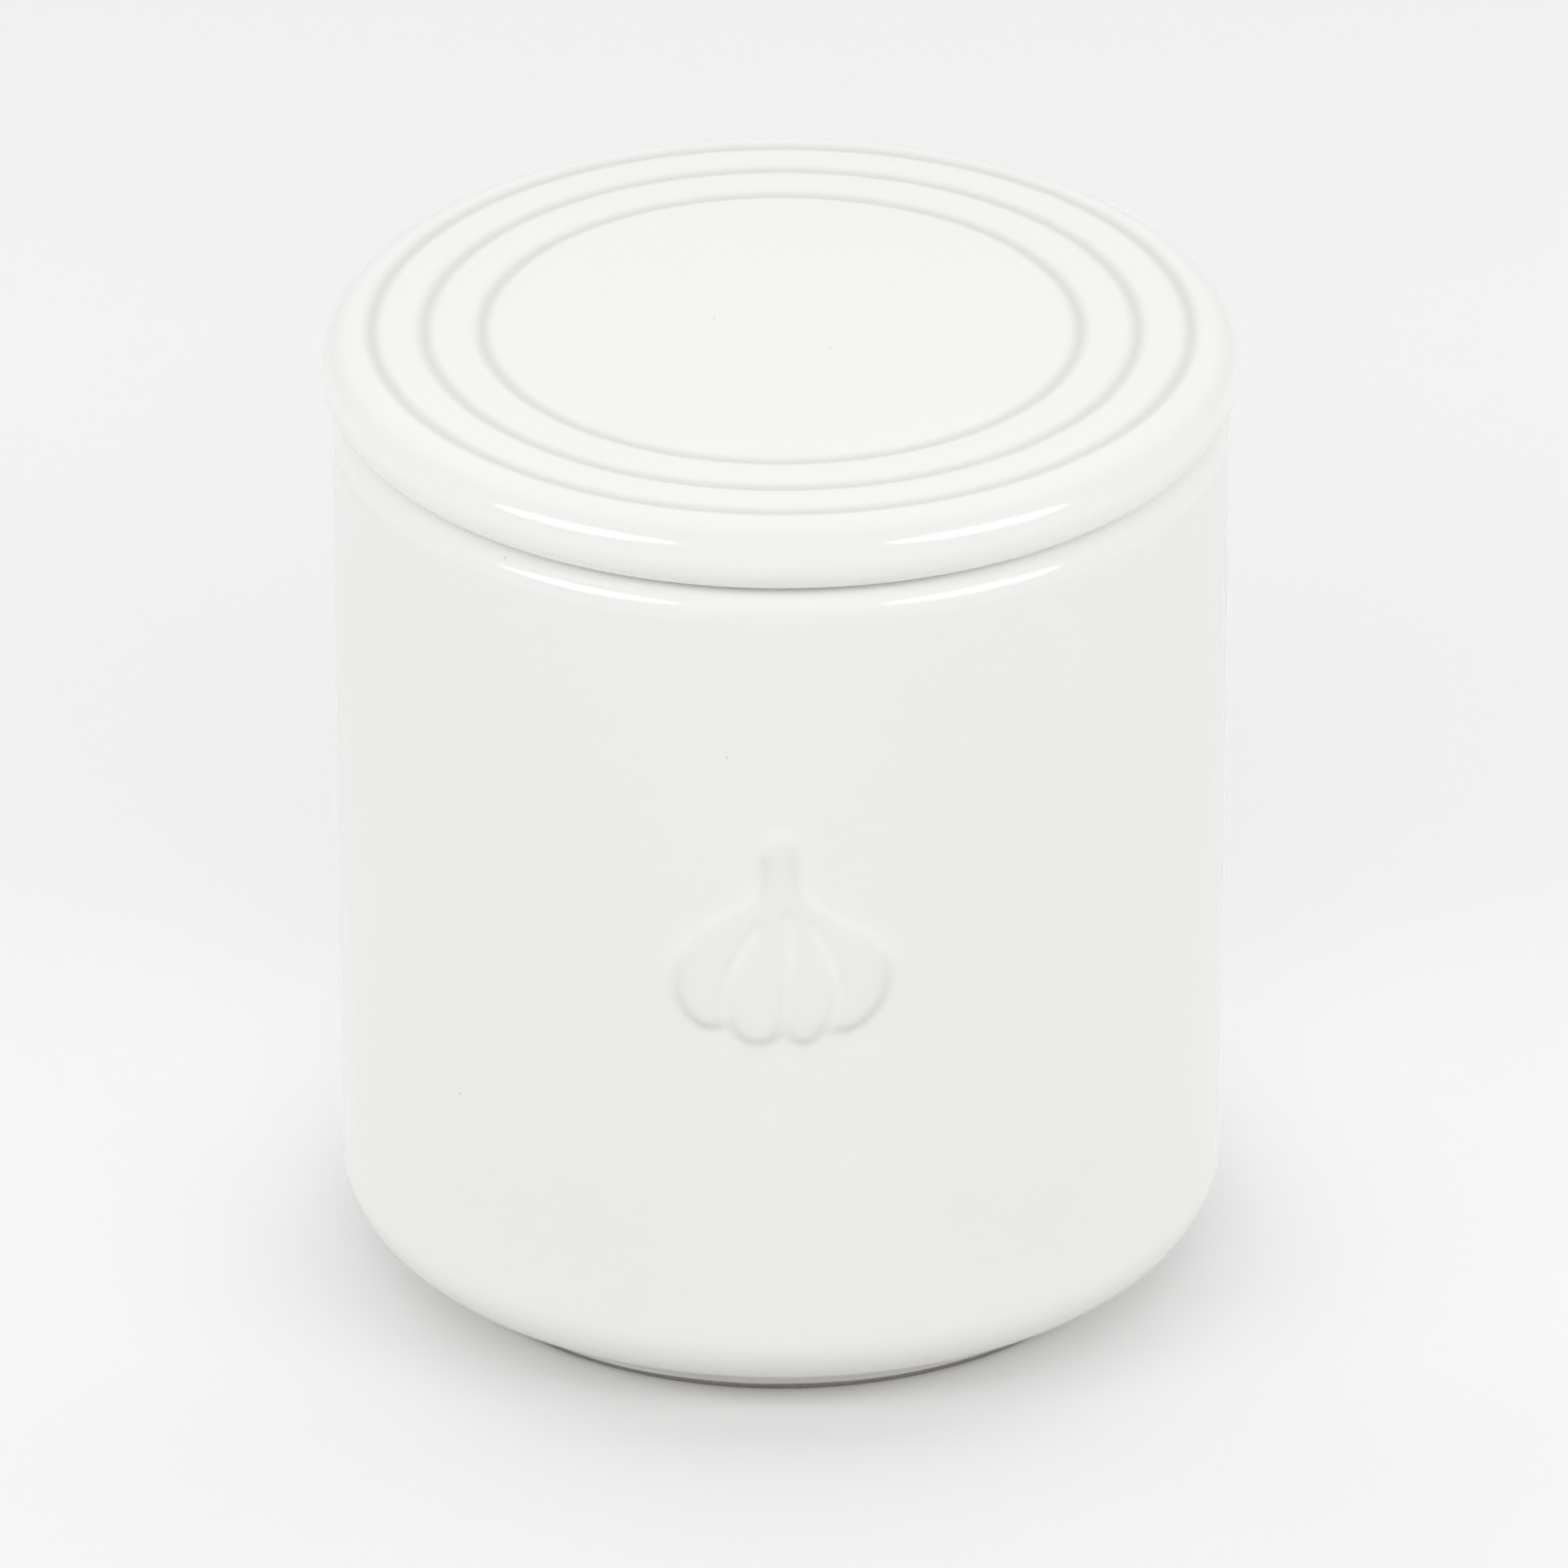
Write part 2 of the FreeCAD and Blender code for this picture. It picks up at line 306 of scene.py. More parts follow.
@dataclass
class Surface:
    """A mesh in the making, in millimetres, gathered from whole arrays.

    Args:
        name: the piece's name.
        points: blocks of points, one row each.
        thin: the points' shares of thin glaze and of painted shade, block by block.
        pooled: the points' shares of pooled glaze and of painted light, block by block.
        faces: each face's corners, as numbers of points.
        finishes: the faces' finishes, block by block.
        count: how many points there are.
    """

    name: str
    points: list[Array] = field(default_factory=list)
    thin: list[Array] = field(default_factory=list)
    pooled: list[Array] = field(default_factory=list)
    faces: list[list[int]] = field(default_factory=list)
    finishes: list[Array] = field(default_factory=list)
    count: int = 0

    def add_points(self, points: Array, thin: Array, pooled: Array) -> Array:
        """Add points with their shares of thin glaze with painted shade, and of pooled glaze with painted
        light.

        Args:
            points: places, on the last axis.
            thin: share of thin glaze and painted shade at each point.
            pooled: share of pooled glaze and painted light at each point.

        Returns:
            Their numbers, in the shape of the array of points.
        """
        shape = points.shape[:-1]
        total = math.prod(shape)
        self.points.append(points.reshape(-1, 3))
        self.thin.append(np.broadcast_to(thin, shape).reshape(-1))
        self.pooled.append(np.broadcast_to(pooled, shape).reshape(-1))
        numbers = self.count + np.arange(total).reshape(shape)
        self.count += total
        return numbers

    def add_faces(self, corners: Array, finish: Array | int) -> None:
        """Add faces.

        Args:
            corners: the numbers of each face's corners, on the last axis.
            finish: one finish for all faces, or one for each.
        """
        self.faces += corners.reshape(-1, corners.shape[-1]).tolist()
        self.finishes.append(np.broadcast_to(finish, corners.shape[:-1]).reshape(-1))

    def build(self, materials: dict[Finish, bpy.types.Material]) -> bpy.types.Object:
        """Make the mesh object, smooth-shaded, with one material per finish and two attributes of glaze,
        painted shade and painted light.

        Args:
            materials: a material for each finish.

        Returns:
            The object, at the origin.
        """
        mesh = bpy.data.meshes.new(self.name)
        mesh.from_pydata(np.vstack(self.points) * MM, [], self.faces)
        for finish in sorted(materials, key=lambda one: one.value):
            mesh.materials.append(materials[finish])
        finish_of_face = np.concatenate(self.finishes).astype(np.int32)
        mesh.polygons.foreach_set("material_index", finish_of_face)
        mesh.polygons.foreach_set("use_smooth", np.ones(len(self.faces), bool))
        for attribute, values in ((THIN_GLAZE_AND_SHADE, self.thin), (POOLED_GLAZE_AND_LIGHT, self.pooled)):
            layer = mesh.attributes.new(attribute, "FLOAT", "POINT")
            layer.data.foreach_set("value", np.concatenate(values).astype(np.float32))
        mesh.update()
        return add_object(self.name, mesh)


@dataclass
class Turned:
    """A surface turned about Z from a profile that starts and ends on the axis.

    Point (row, column) is (r sin a, -r cos a, z), with r and z from the profile's row, plus what the
    relief adds to r, and a the column's angle, nought at the front. The rows run from the axis below,
    out and up the outside, so that columns across rows point outwards.

    Args:
        profile: rows of radius and height.
        angles: the columns' angles, rising over one turn.
        lift: what is added to the radius at each row and column.
        shift: what is added to the height at each row and column.
    """

    profile: Array
    angles: Array
    lift: Array
    shift: Array

    def grid(self) -> Array:
        """The points at each row and column.

        Returns:
            The points, on the last axis.
        """
        radius = self.profile[:, :1] + self.lift
        height = self.profile[:, 1:] + self.shift
        return np.stack([radius * np.sin(self.angles), -radius * np.cos(self.angles), height], axis=-1)

    def add_to(self, surface: Surface, thin: Array, pooled: Array, finish: Array, keep: Array) -> Array:
        """Add the turned surface to a mesh, each end closed by a fan round one point.

        Args:
            surface: the mesh in the making.
            thin: share of thin glaze and painted shade at each row and column.
            pooled: share of pooled glaze and painted light at each row and column.
            finish: the finish of the faces after each row.
            keep: whether the face after each row and column is made.

        Returns:
            The number of the point at each row and column.
        """
        grid = self.grid()
        ends = surface.add_points(grid[[0, -1], 0], thin[[0, -1], 0], pooled[[0, -1], 0])
        body = surface.add_points(grid[1:-1], thin[1:-1], pooled[1:-1])
        first, last = (np.full((1, len(self.angles)), end) for end in ends)
        numbers = np.vstack([first, body, last])
        quads = quads_between(numbers)
        surface.add_faces(quads[0][:, [0, 2, 3]], finish[0])
        surface.add_faces(quads[-1][:, [0, 1, 2]], finish[-1])
        by_face = np.broadcast_to(finish[1:-1, None], keep[1:-1].shape)
        surface.add_faces(quads[1:-1][keep[1:-1]], by_face[keep[1:-1]])
        return numbers


# ---------------------------------------------------------------------------------------- finishes
def linear(hex_colour: str) -> tuple[float, float, float, float]:
    """An sRGB hex colour as linear RGBA, by the standard's two-part curve.

    Args:
        hex_colour: a number sign and six digits.

    Returns:
        Red, green, blue and an alpha of one.
    """
    shares = [int(hex_colour[place:place + 2], 16) / 255 for place in (1, 3, 5)]
    bent = [one / 12.92 if one <= 0.04045 else ((one + 0.055) / 1.055) ** 2.4 for one in shares]
    return (*bent, 1.0)


def per_metre(size_mm: float) -> float:
    """A texture scale whose pattern repeats about every so many millimetres."""
    return 1 / (size_mm * MM)


def emptied_tree(owner: bpy.types.Material | bpy.types.World) -> bpy.types.NodeTree:
    """The node tree of a new material or world, without any node.

    Args:
        owner: the material or world.

    Returns:
        Its tree.
    """
    owner.use_nodes = True
    owner.node_tree.nodes.clear()
    return owner.node_tree


def add_node(tree: bpy.types.NodeTree, kind: str, settings: dict, links: dict) -> bpy.types.Node:
    """Add one node to a tree.

    Args:
        tree: the node tree.
        kind: the node's type, without the word ShaderNode.
        settings: values by property name, or by input where the key is an input's name or number.
        links: output sockets by the input, name or number, that each feeds.

    Returns:
        The new node.
    """
    node = tree.nodes.new("ShaderNode" + kind)
    for key, value in settings.items():
        if isinstance(key, str) and hasattr(node, key):
            setattr(node, key, value)
        else:
            node.inputs[key].default_value = value
    for key, source in links.items():
        tree.links.new(source, node.inputs[key])
    return node


@dataclass(frozen=True)
class GlazedStoneware:
    """White stoneware glaze, dipped and fired: glossy over a soft orange peel, a little uneven in tone.

    It is thinner and greyer over edges and what stands out, whiter where it has run and been caught, and has
    a few small dark iron specks. Its grey is also painted shade below what stands out, on slopes that face
    aside, in the lid's grooves and down the lid's rim; its white is also painted light on slopes that face
    up and low on the crock's wall. The skin's waves are a few thousandths of a millimetre high.

    Args:
        name: the material's name.
        body_hex: the glaze's colour.
        cloud_hex: its colour where its tone drifts.
        thin_and_shade_hex: its colour where it is thin, and the colour of the painted shade.
        pooled_and_light_hex: its colour where it has pooled, and the colour of the painted light.
        speck_hex: an iron speck's colour.
        ior: of glass, which a glaze is.
        roughness: the least and the most.
        cloud_mm: size of the drifts of tone.
        cloud_detail: how many finer layers they have.
        cloud_coarseness: how strong each finer layer is.
        skin: size, height and finer layers of the slow waves, and of the orange peel on them.
        speck_cell_mm: how far apart the specks lie.
        speck_radius_mm: a speck's reach.
        speck_core: share of that reach over which a speck is darkest.
        speck_strength: how much of its colour shows through the glaze there.
        speck_shift_mm: how far the pattern of specks is moved.
    """

    name: str
    body_hex: str = "#E6E6E4"
    cloud_hex: str = "#EAE9E7"
    thin_and_shade_hex: str = "#D9D8D5"
    pooled_and_light_hex: str = "#EDEDEA"
    speck_hex: str = "#9A9188"
    ior: float = 1.5
    roughness: tuple[float, float] = (0.07, 0.12)
    cloud_mm: float = 45.0
    cloud_detail: float = 3.0
    cloud_coarseness: float = 0.55
    skin: tuple[tuple[float, float, float], ...] = ((24.0, 0.03, 1.0), (2.6, 0.004, 2.0))
    speck_cell_mm: float = 9.0
    speck_radius_mm: float = 0.24
    speck_core: float = 0.35
    speck_strength: float = 0.5
    speck_shift_mm: tuple[float, float, float] = (3.0, 1.0, 4.0)

    def make(self) -> bpy.types.Material:
        """Build the material: its tone, what covers that, and its skin.

        Returns:
            The material.
        """
        material = bpy.data.materials.new(self.name)
        tree = emptied_tree(material)
        place = add_node(tree, "TexCoord", {}, {}).outputs["Object"]
        clouds = add_node(
            tree, "TexNoise",
            {"Scale": per_metre(self.cloud_mm), "Detail": self.cloud_detail,
             "Roughness": self.cloud_coarseness},
            {"Vector": place},
        ).outputs["Fac"]
        colour = add_node(
            tree, "Mix", {"data_type": "RGBA", MIX_A: linear(self.body_hex), MIX_B: linear(self.cloud_hex)},
            {MIX_FACTOR: clouds},
        )
        thin, pooled = (
            add_node(tree, "Attribute", {"attribute_name": name}, {}).outputs["Fac"]
            for name in (THIN_GLAZE_AND_SHADE, POOLED_GLAZE_AND_LIGHT)
        )
        # The thin share also paints shade, and the pooled share paints light.
        covers = (thin, self.thin_and_shade_hex), (pooled, self.pooled_and_light_hex), (self.specks(tree, place), self.speck_hex)
        for share, hex_colour in covers:
            colour = add_node(
                tree, "Mix", {"data_type": "RGBA", MIX_B: linear(hex_colour)},
                {MIX_FACTOR: share, MIX_A: colour.outputs[MIX_COLOUR]},
            )

        under = {}
        for size, height, detail in self.skin:
            waves = add_node(
                tree, "TexNoise", {"Scale": per_metre(size), "Detail": detail}, {"Vector": place}
            )
            layer = add_node(
                tree, "Bump", {"Strength": 1.0, "Distance": height * MM},
                {"Height": waves.outputs["Fac"], **under},
            )
            under = {"Normal": layer.outputs["Normal"]}
        least, most = self.roughness
        gloss = add_node(tree, "MapRange", {"To Min": least, "To Max": most}, {"Value": clouds})
        shader = add_node(
            tree, "BsdfPrincipled", {"IOR": self.ior},
            {"Base Color": colour.outputs[MIX_COLOUR], "Roughness": gloss.outputs["Result"], **under},
        )
        add_node(tree, "OutputMaterial", {}, {"Surface": shader.outputs["BSDF"]})
        return material

    def specks(self, tree: bpy.types.NodeTree, place: bpy.types.NodeSocket) -> bpy.types.NodeSocket:
        """Add the iron specks' nodes: a speck lies where the nearest cell's middle is very near.

        Args:
            tree: the material's tree.
            place: the place on the object.

        Returns:
            How strongly a speck shows at that place.
        """
        shift = [one * MM for one in self.speck_shift_mm]
        shifted = add_node(tree, "VectorMath", {"operation": "ADD", 1: shift}, {0: place})
        cells = add_node(
            tree, "TexVoronoi", {"Scale": per_metre(self.speck_cell_mm)},
            {"Vector": shifted.outputs["Vector"]},
        )
        reach = self.speck_radius_mm / self.speck_cell_mm
        return add_node(
            tree, "MapRange",
            {"interpolation_type": "SMOOTHSTEP", "From Min": reach, "From Max": reach * self.speck_core,
             "To Min": 0.0, "To Max": self.speck_strength},
            {"Value": cells.outputs["Distance"]},
        ).outputs["Result"]


@dataclass(frozen=True)
class BareStoneware:
    """Unglazed fired stoneware, wiped clean: matt, warm grey, with sandy grains of many tones.

    Args:
        name: the material's name.
        body_hex: the clay's colour.
        grain_hex: the darkest grains' colour.
        ior: of fired clay.
        roughness: of its surface.
        grain_mm: size of the largest grains, coarser than real ones so that they show.
        grain_detail: how many finer layers they have.
        grain_coarseness: how strong each finer layer is.
        grain_height_mm: how far they stand out.
    """

    name: str = "bare_fired_stoneware"
    body_hex: str = "#A9A299"
    grain_hex: str = "#857D74"
    ior: float = 1.5
    roughness: float = 0.85
    grain_mm: float = 0.7
    grain_detail: float = 4.0
    grain_coarseness: float = 0.7
    grain_height_mm: float = 0.05

    def make(self) -> bpy.types.Material:
        """Build the material's nodes.

        Returns:
            The material.
        """
        material = bpy.data.materials.new(self.name)
        tree = emptied_tree(material)
        place = add_node(tree, "TexCoord", {}, {}).outputs["Object"]
        grain = add_node(
            tree, "TexNoise",
            {"Scale": per_metre(self.grain_mm), "Detail": self.grain_detail,
             "Roughness": self.grain_coarseness},
            {"Vector": place},
        )
        colour = add_node(
            tree, "Mix", {"data_type": "RGBA", MIX_A: linear(self.body_hex), MIX_B: linear(self.grain_hex)},
            {MIX_FACTOR: grain.outputs["Fac"]},
        )
        rough = add_node(
            tree, "Bump", {"Strength": 1.0, "Distance": self.grain_height_mm * MM},
            {"Height": grain.outputs["Fac"]},
        )
        shader = add_node(
            tree, "BsdfPrincipled", {"IOR": self.ior, "Roughness": self.roughness},
            {"Base Color": colour.outputs[MIX_COLOUR], "Normal": rough.outputs["Normal"]},
        )
        add_node(tree, "OutputMaterial", {}, {"Surface": shader.outputs["BSDF"]})
        return material


# ---------------------------------------------------------------------------------------- relief
@dataclass(frozen=True)
class GarlicBulb:
    """The raised garlic bulb: a pad with soft edges, crowned cloves and grooves between them.

    Args:
        base: height of the bulb's lowest point.
        relief: how far its pad stands out of the wall.
        edge: width of the slope round it.
        crown: how much higher a clove's middle is than its edge.
        crown_reach: how far from the edge the crown has risen by two thirds.
        groove_depth: depth of a groove between cloves.
        groove_reach: how far from its middle a groove has risen by two thirds.
        groove_mouth: heights above the base at which the grooves are fully open and no longer so.
        groove_steps: how many points a groove's line gets.
        steps_per_knot: how many points a side gets for each of its knots.
        sides: corner to corner, the lines that bound the bulb.
        grooves: the lines between the cloves, each from the stem down.
    """

    base: float = 55.6
    relief: float = 0.58
    edge: float = 1.1
    crown: float = 0.16
    crown_reach: float = 2.4
    groove_depth: float = 0.6
    groove_reach: float = 0.55
    groove_mouth: tuple[float, float] = (0.5, 3.5)
    groove_steps: int = 40
    steps_per_knot: int = 8
    sides: tuple[Line, ...] = (
        ((-2.3, 26.7), (-2.3, 22.6), (-3.0, 20.4), (-5.1, 18.2), (-8.2, 16.1), (-11.0, 13.7), (-12.5, 11.0),
         (-13.0, 8.0), (-12.4, 5.0), (-11.0, 3.0), (-9.0, 1.9), (-6.6, 2.6)),
        ((-6.6, 2.6), (-5.1, 0.8), (-2.6, 0.0), (0.2, 1.5)),
        ((0.2, 1.5), (2.9, 0.05), (5.3, 1.7)),
        ((5.3, 1.7), (8.3, 1.7), (11.1, 3.5), (12.8, 6.4), (13.2, 9.6), (12.6, 12.2), (10.6, 14.4),
         (7.2, 16.3), (4.4, 18.4), (2.5, 21.2), (1.8, 24.2), (1.6, 27.2)),
        ((1.6, 27.2), (1.3, 28.2), (0.3, 28.4), (-1.2, 27.7), (-2.3, 26.7)),
    )
    grooves: tuple[Line, ...] = (
        ((-2.9, 16.2), (-4.9, 12.6), (-6.5, 8.6), (-7.0, 5.0), (-6.5, 1.6)),
        ((0.9, 17.6), (0.9, 9.0), (0.3, 0.6)),
        ((3.9, 16.4), (6.0, 12.2), (7.1, 7.0), (5.4, 0.8)),
    )

    def outline(self) -> Array:
        """The closed line round the bulb, side after side, each point once but for the first."""
        parts = [smooth_curve(side, self.steps_per_knot * len(side))[1:] for side in self.sides]
        return np.vstack([parts[-1][-1:], *parts])

    def height(self, across: Array, up: Array) -> Array:
        """How far the bulb stands out of the wall at each place.

        The signed distance to the outline, positive inside, gives the pad's soft slope and the crown,
        one minus a falling exponential. The grooves are taken away, and fade out with the slope.

        Args:
            across: distance to the right of the middle.
            up: height above the ground.

        Returns:
            The height of the relief, in the shape of the places.
        """
        places = np.stack([across.ravel(), up.ravel() - self.base], axis=1)
        outline = self.outline()
        distance = distance_to_line(places, outline)
        depth = np.where(is_inside(places, outline), distance, -distance)
        slope = smooth_rise(depth, -self.edge / 2, self.edge / 2)
        rise = self.relief + self.crown * (1 - np.exp(-np.maximum(depth, 0) / self.crown_reach))
        rise -= self.groove_depth * self.in_groove(across, up).ravel()
        return (slope * rise).reshape(across.shape)

    def in_groove(self, across: Array, up: Array) -> Array:
        """How far in a groove each place is: the sum of a bell curve of the distance to each line.

        Half as much above, it becomes whole and half as wide again towards the bulb's bottom.

        Args:
            across: distance to the right of the middle.
            up: height above the ground.

        Returns:
            A share, in the shape of the places.
        """
        places = np.stack([across.ravel(), up.ravel() - self.base], axis=1)
        opened = smooth_fall(places[:, 1], *self.groove_mouth)
        reach = self.groove_reach * (1 + opened / 2)
        lines = [smooth_curve(groove, self.groove_steps) for groove in self.grooves]
        near = np.sum([bell(distance_to_line(places, line), reach) for line in lines], axis=0)
        return ((1 + opened) / 2 * near).reshape(across.shape)


@dataclass(frozen=True)
class RunningGlaze:
    """How the melted glaze evens out raised clay and runs down over it, with painted shade and painted
    light.

    Running down, it is caught in the hollows over slopes that face up and along the grooves, and leaves what
    stands out thin. Slopes that face down and aside also carry painted shade, slopes that face up painted
    highlight, and the outer wall is painted lighter towards its bottom. How much a slope faces up goes from
    minus one, straight down, to one.

    Args:
        even_reach: how far the glaze evens out the clay.
        run_reach: how far it runs.
        full: what stands out this far is as thin or as pooled as the glaze gets.
        steep: a slope as steep as this one leaves the glaze as thin as it gets.
        level: a slope less steep than this faces neither up nor down.
        painted_shade_below: share of the thin colour, as painted shade, on a steep slope that faces down.
        thin_proud: share of thin glaze on what stands out.
        painted_shade_aside: share of the thin colour, as painted shade, on a steep slope that faces aside.
        aside: between these, a slope that faces up stops counting as one that faces aside.
        catching_and_lit: between these, a slope begins to catch the glaze that runs down to it and to carry
            painted highlight.
        pooled_groove: share of pooled glaze in a groove.
        raised: the glazed surface of a groove stands out further than this.
        bounce_fades: heights between which the two halves of the painted light low on the wall fade out
            upwards.
        corner: heights between which it begins, over the wall's bottom corner.
    """

    even_reach: float = 0.45
    run_reach: float = 1.6
    full: float = 0.3
    steep: float = 0.5
    level: float = 0.001
    painted_shade_below: float = 0.6
    thin_proud: float = 0.3
    painted_shade_aside: float = 0.4
    aside: tuple[float, float] = (0.1, 0.6)
    catching_and_lit: tuple[float, float] = (-0.3, 0.5)
    pooled_groove: float = 0.4
    raised: float = 0.2
    bounce_fades: tuple[tuple[float, float], ...] = ((30.0, 95.0), (8.0, 30.0))
    corner: tuple[float, float] = (4.0, 6.0)

    def painted_bounce_light(self, height: Array) -> Array:
        """Painted light low on the outer wall, as a share of the pooled colour: the mean of the fades, above
        the corner.
        """
        bounce_share = np.mean([smooth_fall(height, *heights) for heights in self.bounce_fades], axis=0)
        return bounce_share * smooth_rise(height, *self.corner)

    def over_relief(self, clay: Array, lift: Array, grooved: Array, up: Array,
                    along: Array) -> tuple[Array, Array]:
        """Where the glaze over a relief has run thin, where it has pooled, and where shade and highlight are
        painted on it.

        What stands out is the glazed surface less the clay evened out as far as the glaze runs. The
        steepness is the lift's rise with height, so it is positive where a slope faces down.

        Args:
            clay: how far the clay stands out of the wall at each row and column.
            lift: the same for the glazed surface.
            grooved: how far in a groove each place is.
            up: the rows' heights.
            along: the columns' places along the wall.

        Returns:
            The shares of thin glaze with painted shade, and of pooled glaze with painted highlight.
        """
        smooth = evened(clay, up, along, self.run_reach)
        stands_out = (lift - smooth) / self.full
        faces_down = np.gradient(lift, up, axis=0) / self.steep
        leans, turns = np.gradient(smooth, up, axis=0), np.gradient(smooth, along, axis=1)
        faces_up = -leans / np.maximum(np.hypot(leans, turns), self.level)
        faces_aside = np.abs(np.gradient(lift, along, axis=1)) / self.steep
        proud = self.thin_proud * np.clip(stands_out, 0, 1)
        # Painted shade on steep slopes that face aside.
        aside = self.painted_shade_aside * np.clip(faces_aside, 0, 1) * smooth_fall(faces_up, *self.aside)
        between_grooves = 1 - np.clip(2 * grooved, 0, 1)
        # Thin glaze on what stands out, and painted shade on slopes that face down.
        thin = self.painted_shade_below * np.clip(faces_down, 0, 1) + (proud + aside) * between_grooves
        # Glaze pooled in hollows, painted as highlight on slopes that face up.
        pooled = np.clip(-stands_out, 0, 1) * smooth_rise(faces_up, *self.catching_and_lit)
        pooled += self.pooled_groove * grooved * (lift > self.raised)
        return np.clip(thin, 0, 1), np.clip(pooled, 0, 1)


# ---------------------------------------------------------------------------------------- crock
@dataclass(frozen=True)
class HolePatch:
    """The square patch of wall that an air hole takes.

    Args:
        outer: its rows on the outer face of the wall, upwards.
        inner: its rows on the inner face, at the same heights.
        columns: its columns.
        turn: the hole's angle round the crock.
        height: the hole's height.
    """

    outer: Array
    inner: Array
    columns: Array
    turn: float
    height: float

    def rim(self, rows: Array) -> tuple[Array, Array]:
        """The way round the patch's edge on one face, counterclockwise as seen from outside.

        Args:
            rows: the patch's rows on that face.

        Returns:
            The row and the column of each point on the way.
        """
        last_row, last_column = len(rows) - 1, len(self.columns) - 1
        along, up = np.arange(last_column), np.arange(last_row)
        row = np.concatenate([0 * along, up, np.full_like(along, last_row), last_row - up])
        column = np.concatenate([along, np.full_like(up, last_column), last_column - along, 0 * up])
        return rows[row], self.columns[column]


@dataclass(frozen=True)
class AirHoles:
    """Round holes in rows and columns through the back wall, their lips rounded and glazed.

    Args:
        diameter: of each hole.
        rows: how many rows of holes.
        columns: how many holes a row has.
        pitch: centre to centre, along the wall and up it.
        top_row: height of the upper row's centres.
        lip: rounding of each lip.
        lip_steps: how many rings of points a lip gets.
        frame: half the side of the square patch of wall round a hole.
        frame_blends: places of the rings of points between the patch's edge and the lip.
        bore_blends: places of the rings of points between the two lips.
    """

    diameter: float = 6.5
    rows: int = 2
    columns: int = 3
    pitch: float = 12.0
    top_row: float = 100.8
    lip: float = 1.0
    lip_steps: int = 6
    frame: float = 5.0
    frame_blends: tuple[float, ...] = (0.4, 0.75)
    bore_blends: tuple[float, ...] = (0.25, 0.5, 0.75)

    def heights(self) -> Array:
        """Height of each row of holes, from the upper one down."""
        return self.top_row - self.pitch * np.arange(self.rows)

    def offsets(self) -> Array:
        """Distance of each column of holes along the wall from the middle of the back."""
        return self.pitch * (np.arange(self.columns) - (self.columns - 1) / 2)

    def rings(self, rim: Array, patch: HolePatch, wall_radius: Callable[[Array], Array],
              inward: float) -> tuple[Array, Array]:
        """Rings of points from a square rim on one face of the wall into a hole.

        Local places are (x, z) across the hole. The first rings blend the square rim with the lip's
        outer circle. Then the lip follows a quarter circle: its radius shrinks by lip times sin b while
        its depth grows by lip times (1 - cos b). Along the hole's axis a point lies at the square root
        of the wall's radius squared less x squared, moved by its depth.

        Args:
            rim: points of the square rim.
            patch: the hole's patch of wall.
            wall_radius: radius of this face of the wall at given heights.
            inward: minus one for the outer face, plus one for the inner.

        Returns:
            The rings' points, and the share of thin glaze on each ring.
        """
        side = np.array([math.cos(patch.turn), math.sin(patch.turn), 0.0])
        ahead = np.array([math.sin(patch.turn), -math.cos(patch.turn), 0.0])
        flat = np.stack([rim @ side, rim[:, 2] - patch.height], axis=-1)
        spoke = flat / np.linalg.norm(flat, axis=-1, keepdims=True)
        radius = self.diameter / 2
        bends = np.linspace(0, math.pi / 2, self.lip_steps)
        still = np.zeros(len(self.frame_blends))
        blend = np.array(self.frame_blends)[:, None, None]
        outer = (1 - blend) * flat + blend * spoke * (radius + self.lip)
        shrink = radius + self.lip * (1 - np.sin(bends))
        local = np.concatenate([outer, shrink[:, None, None] * spoke])
        depth = np.concatenate([still, self.lip * (1 - np.cos(bends))])[:, None]
        up = local[..., 1] + patch.height
        out = np.sqrt(wall_radius(up) ** 2 - local[..., 0] ** 2) + inward * depth
        points = out[..., None] * ahead + local[..., :1] * side
        points[..., 2] = up
        return points, np.concatenate([still, np.sin(2 * bends) ** 2])


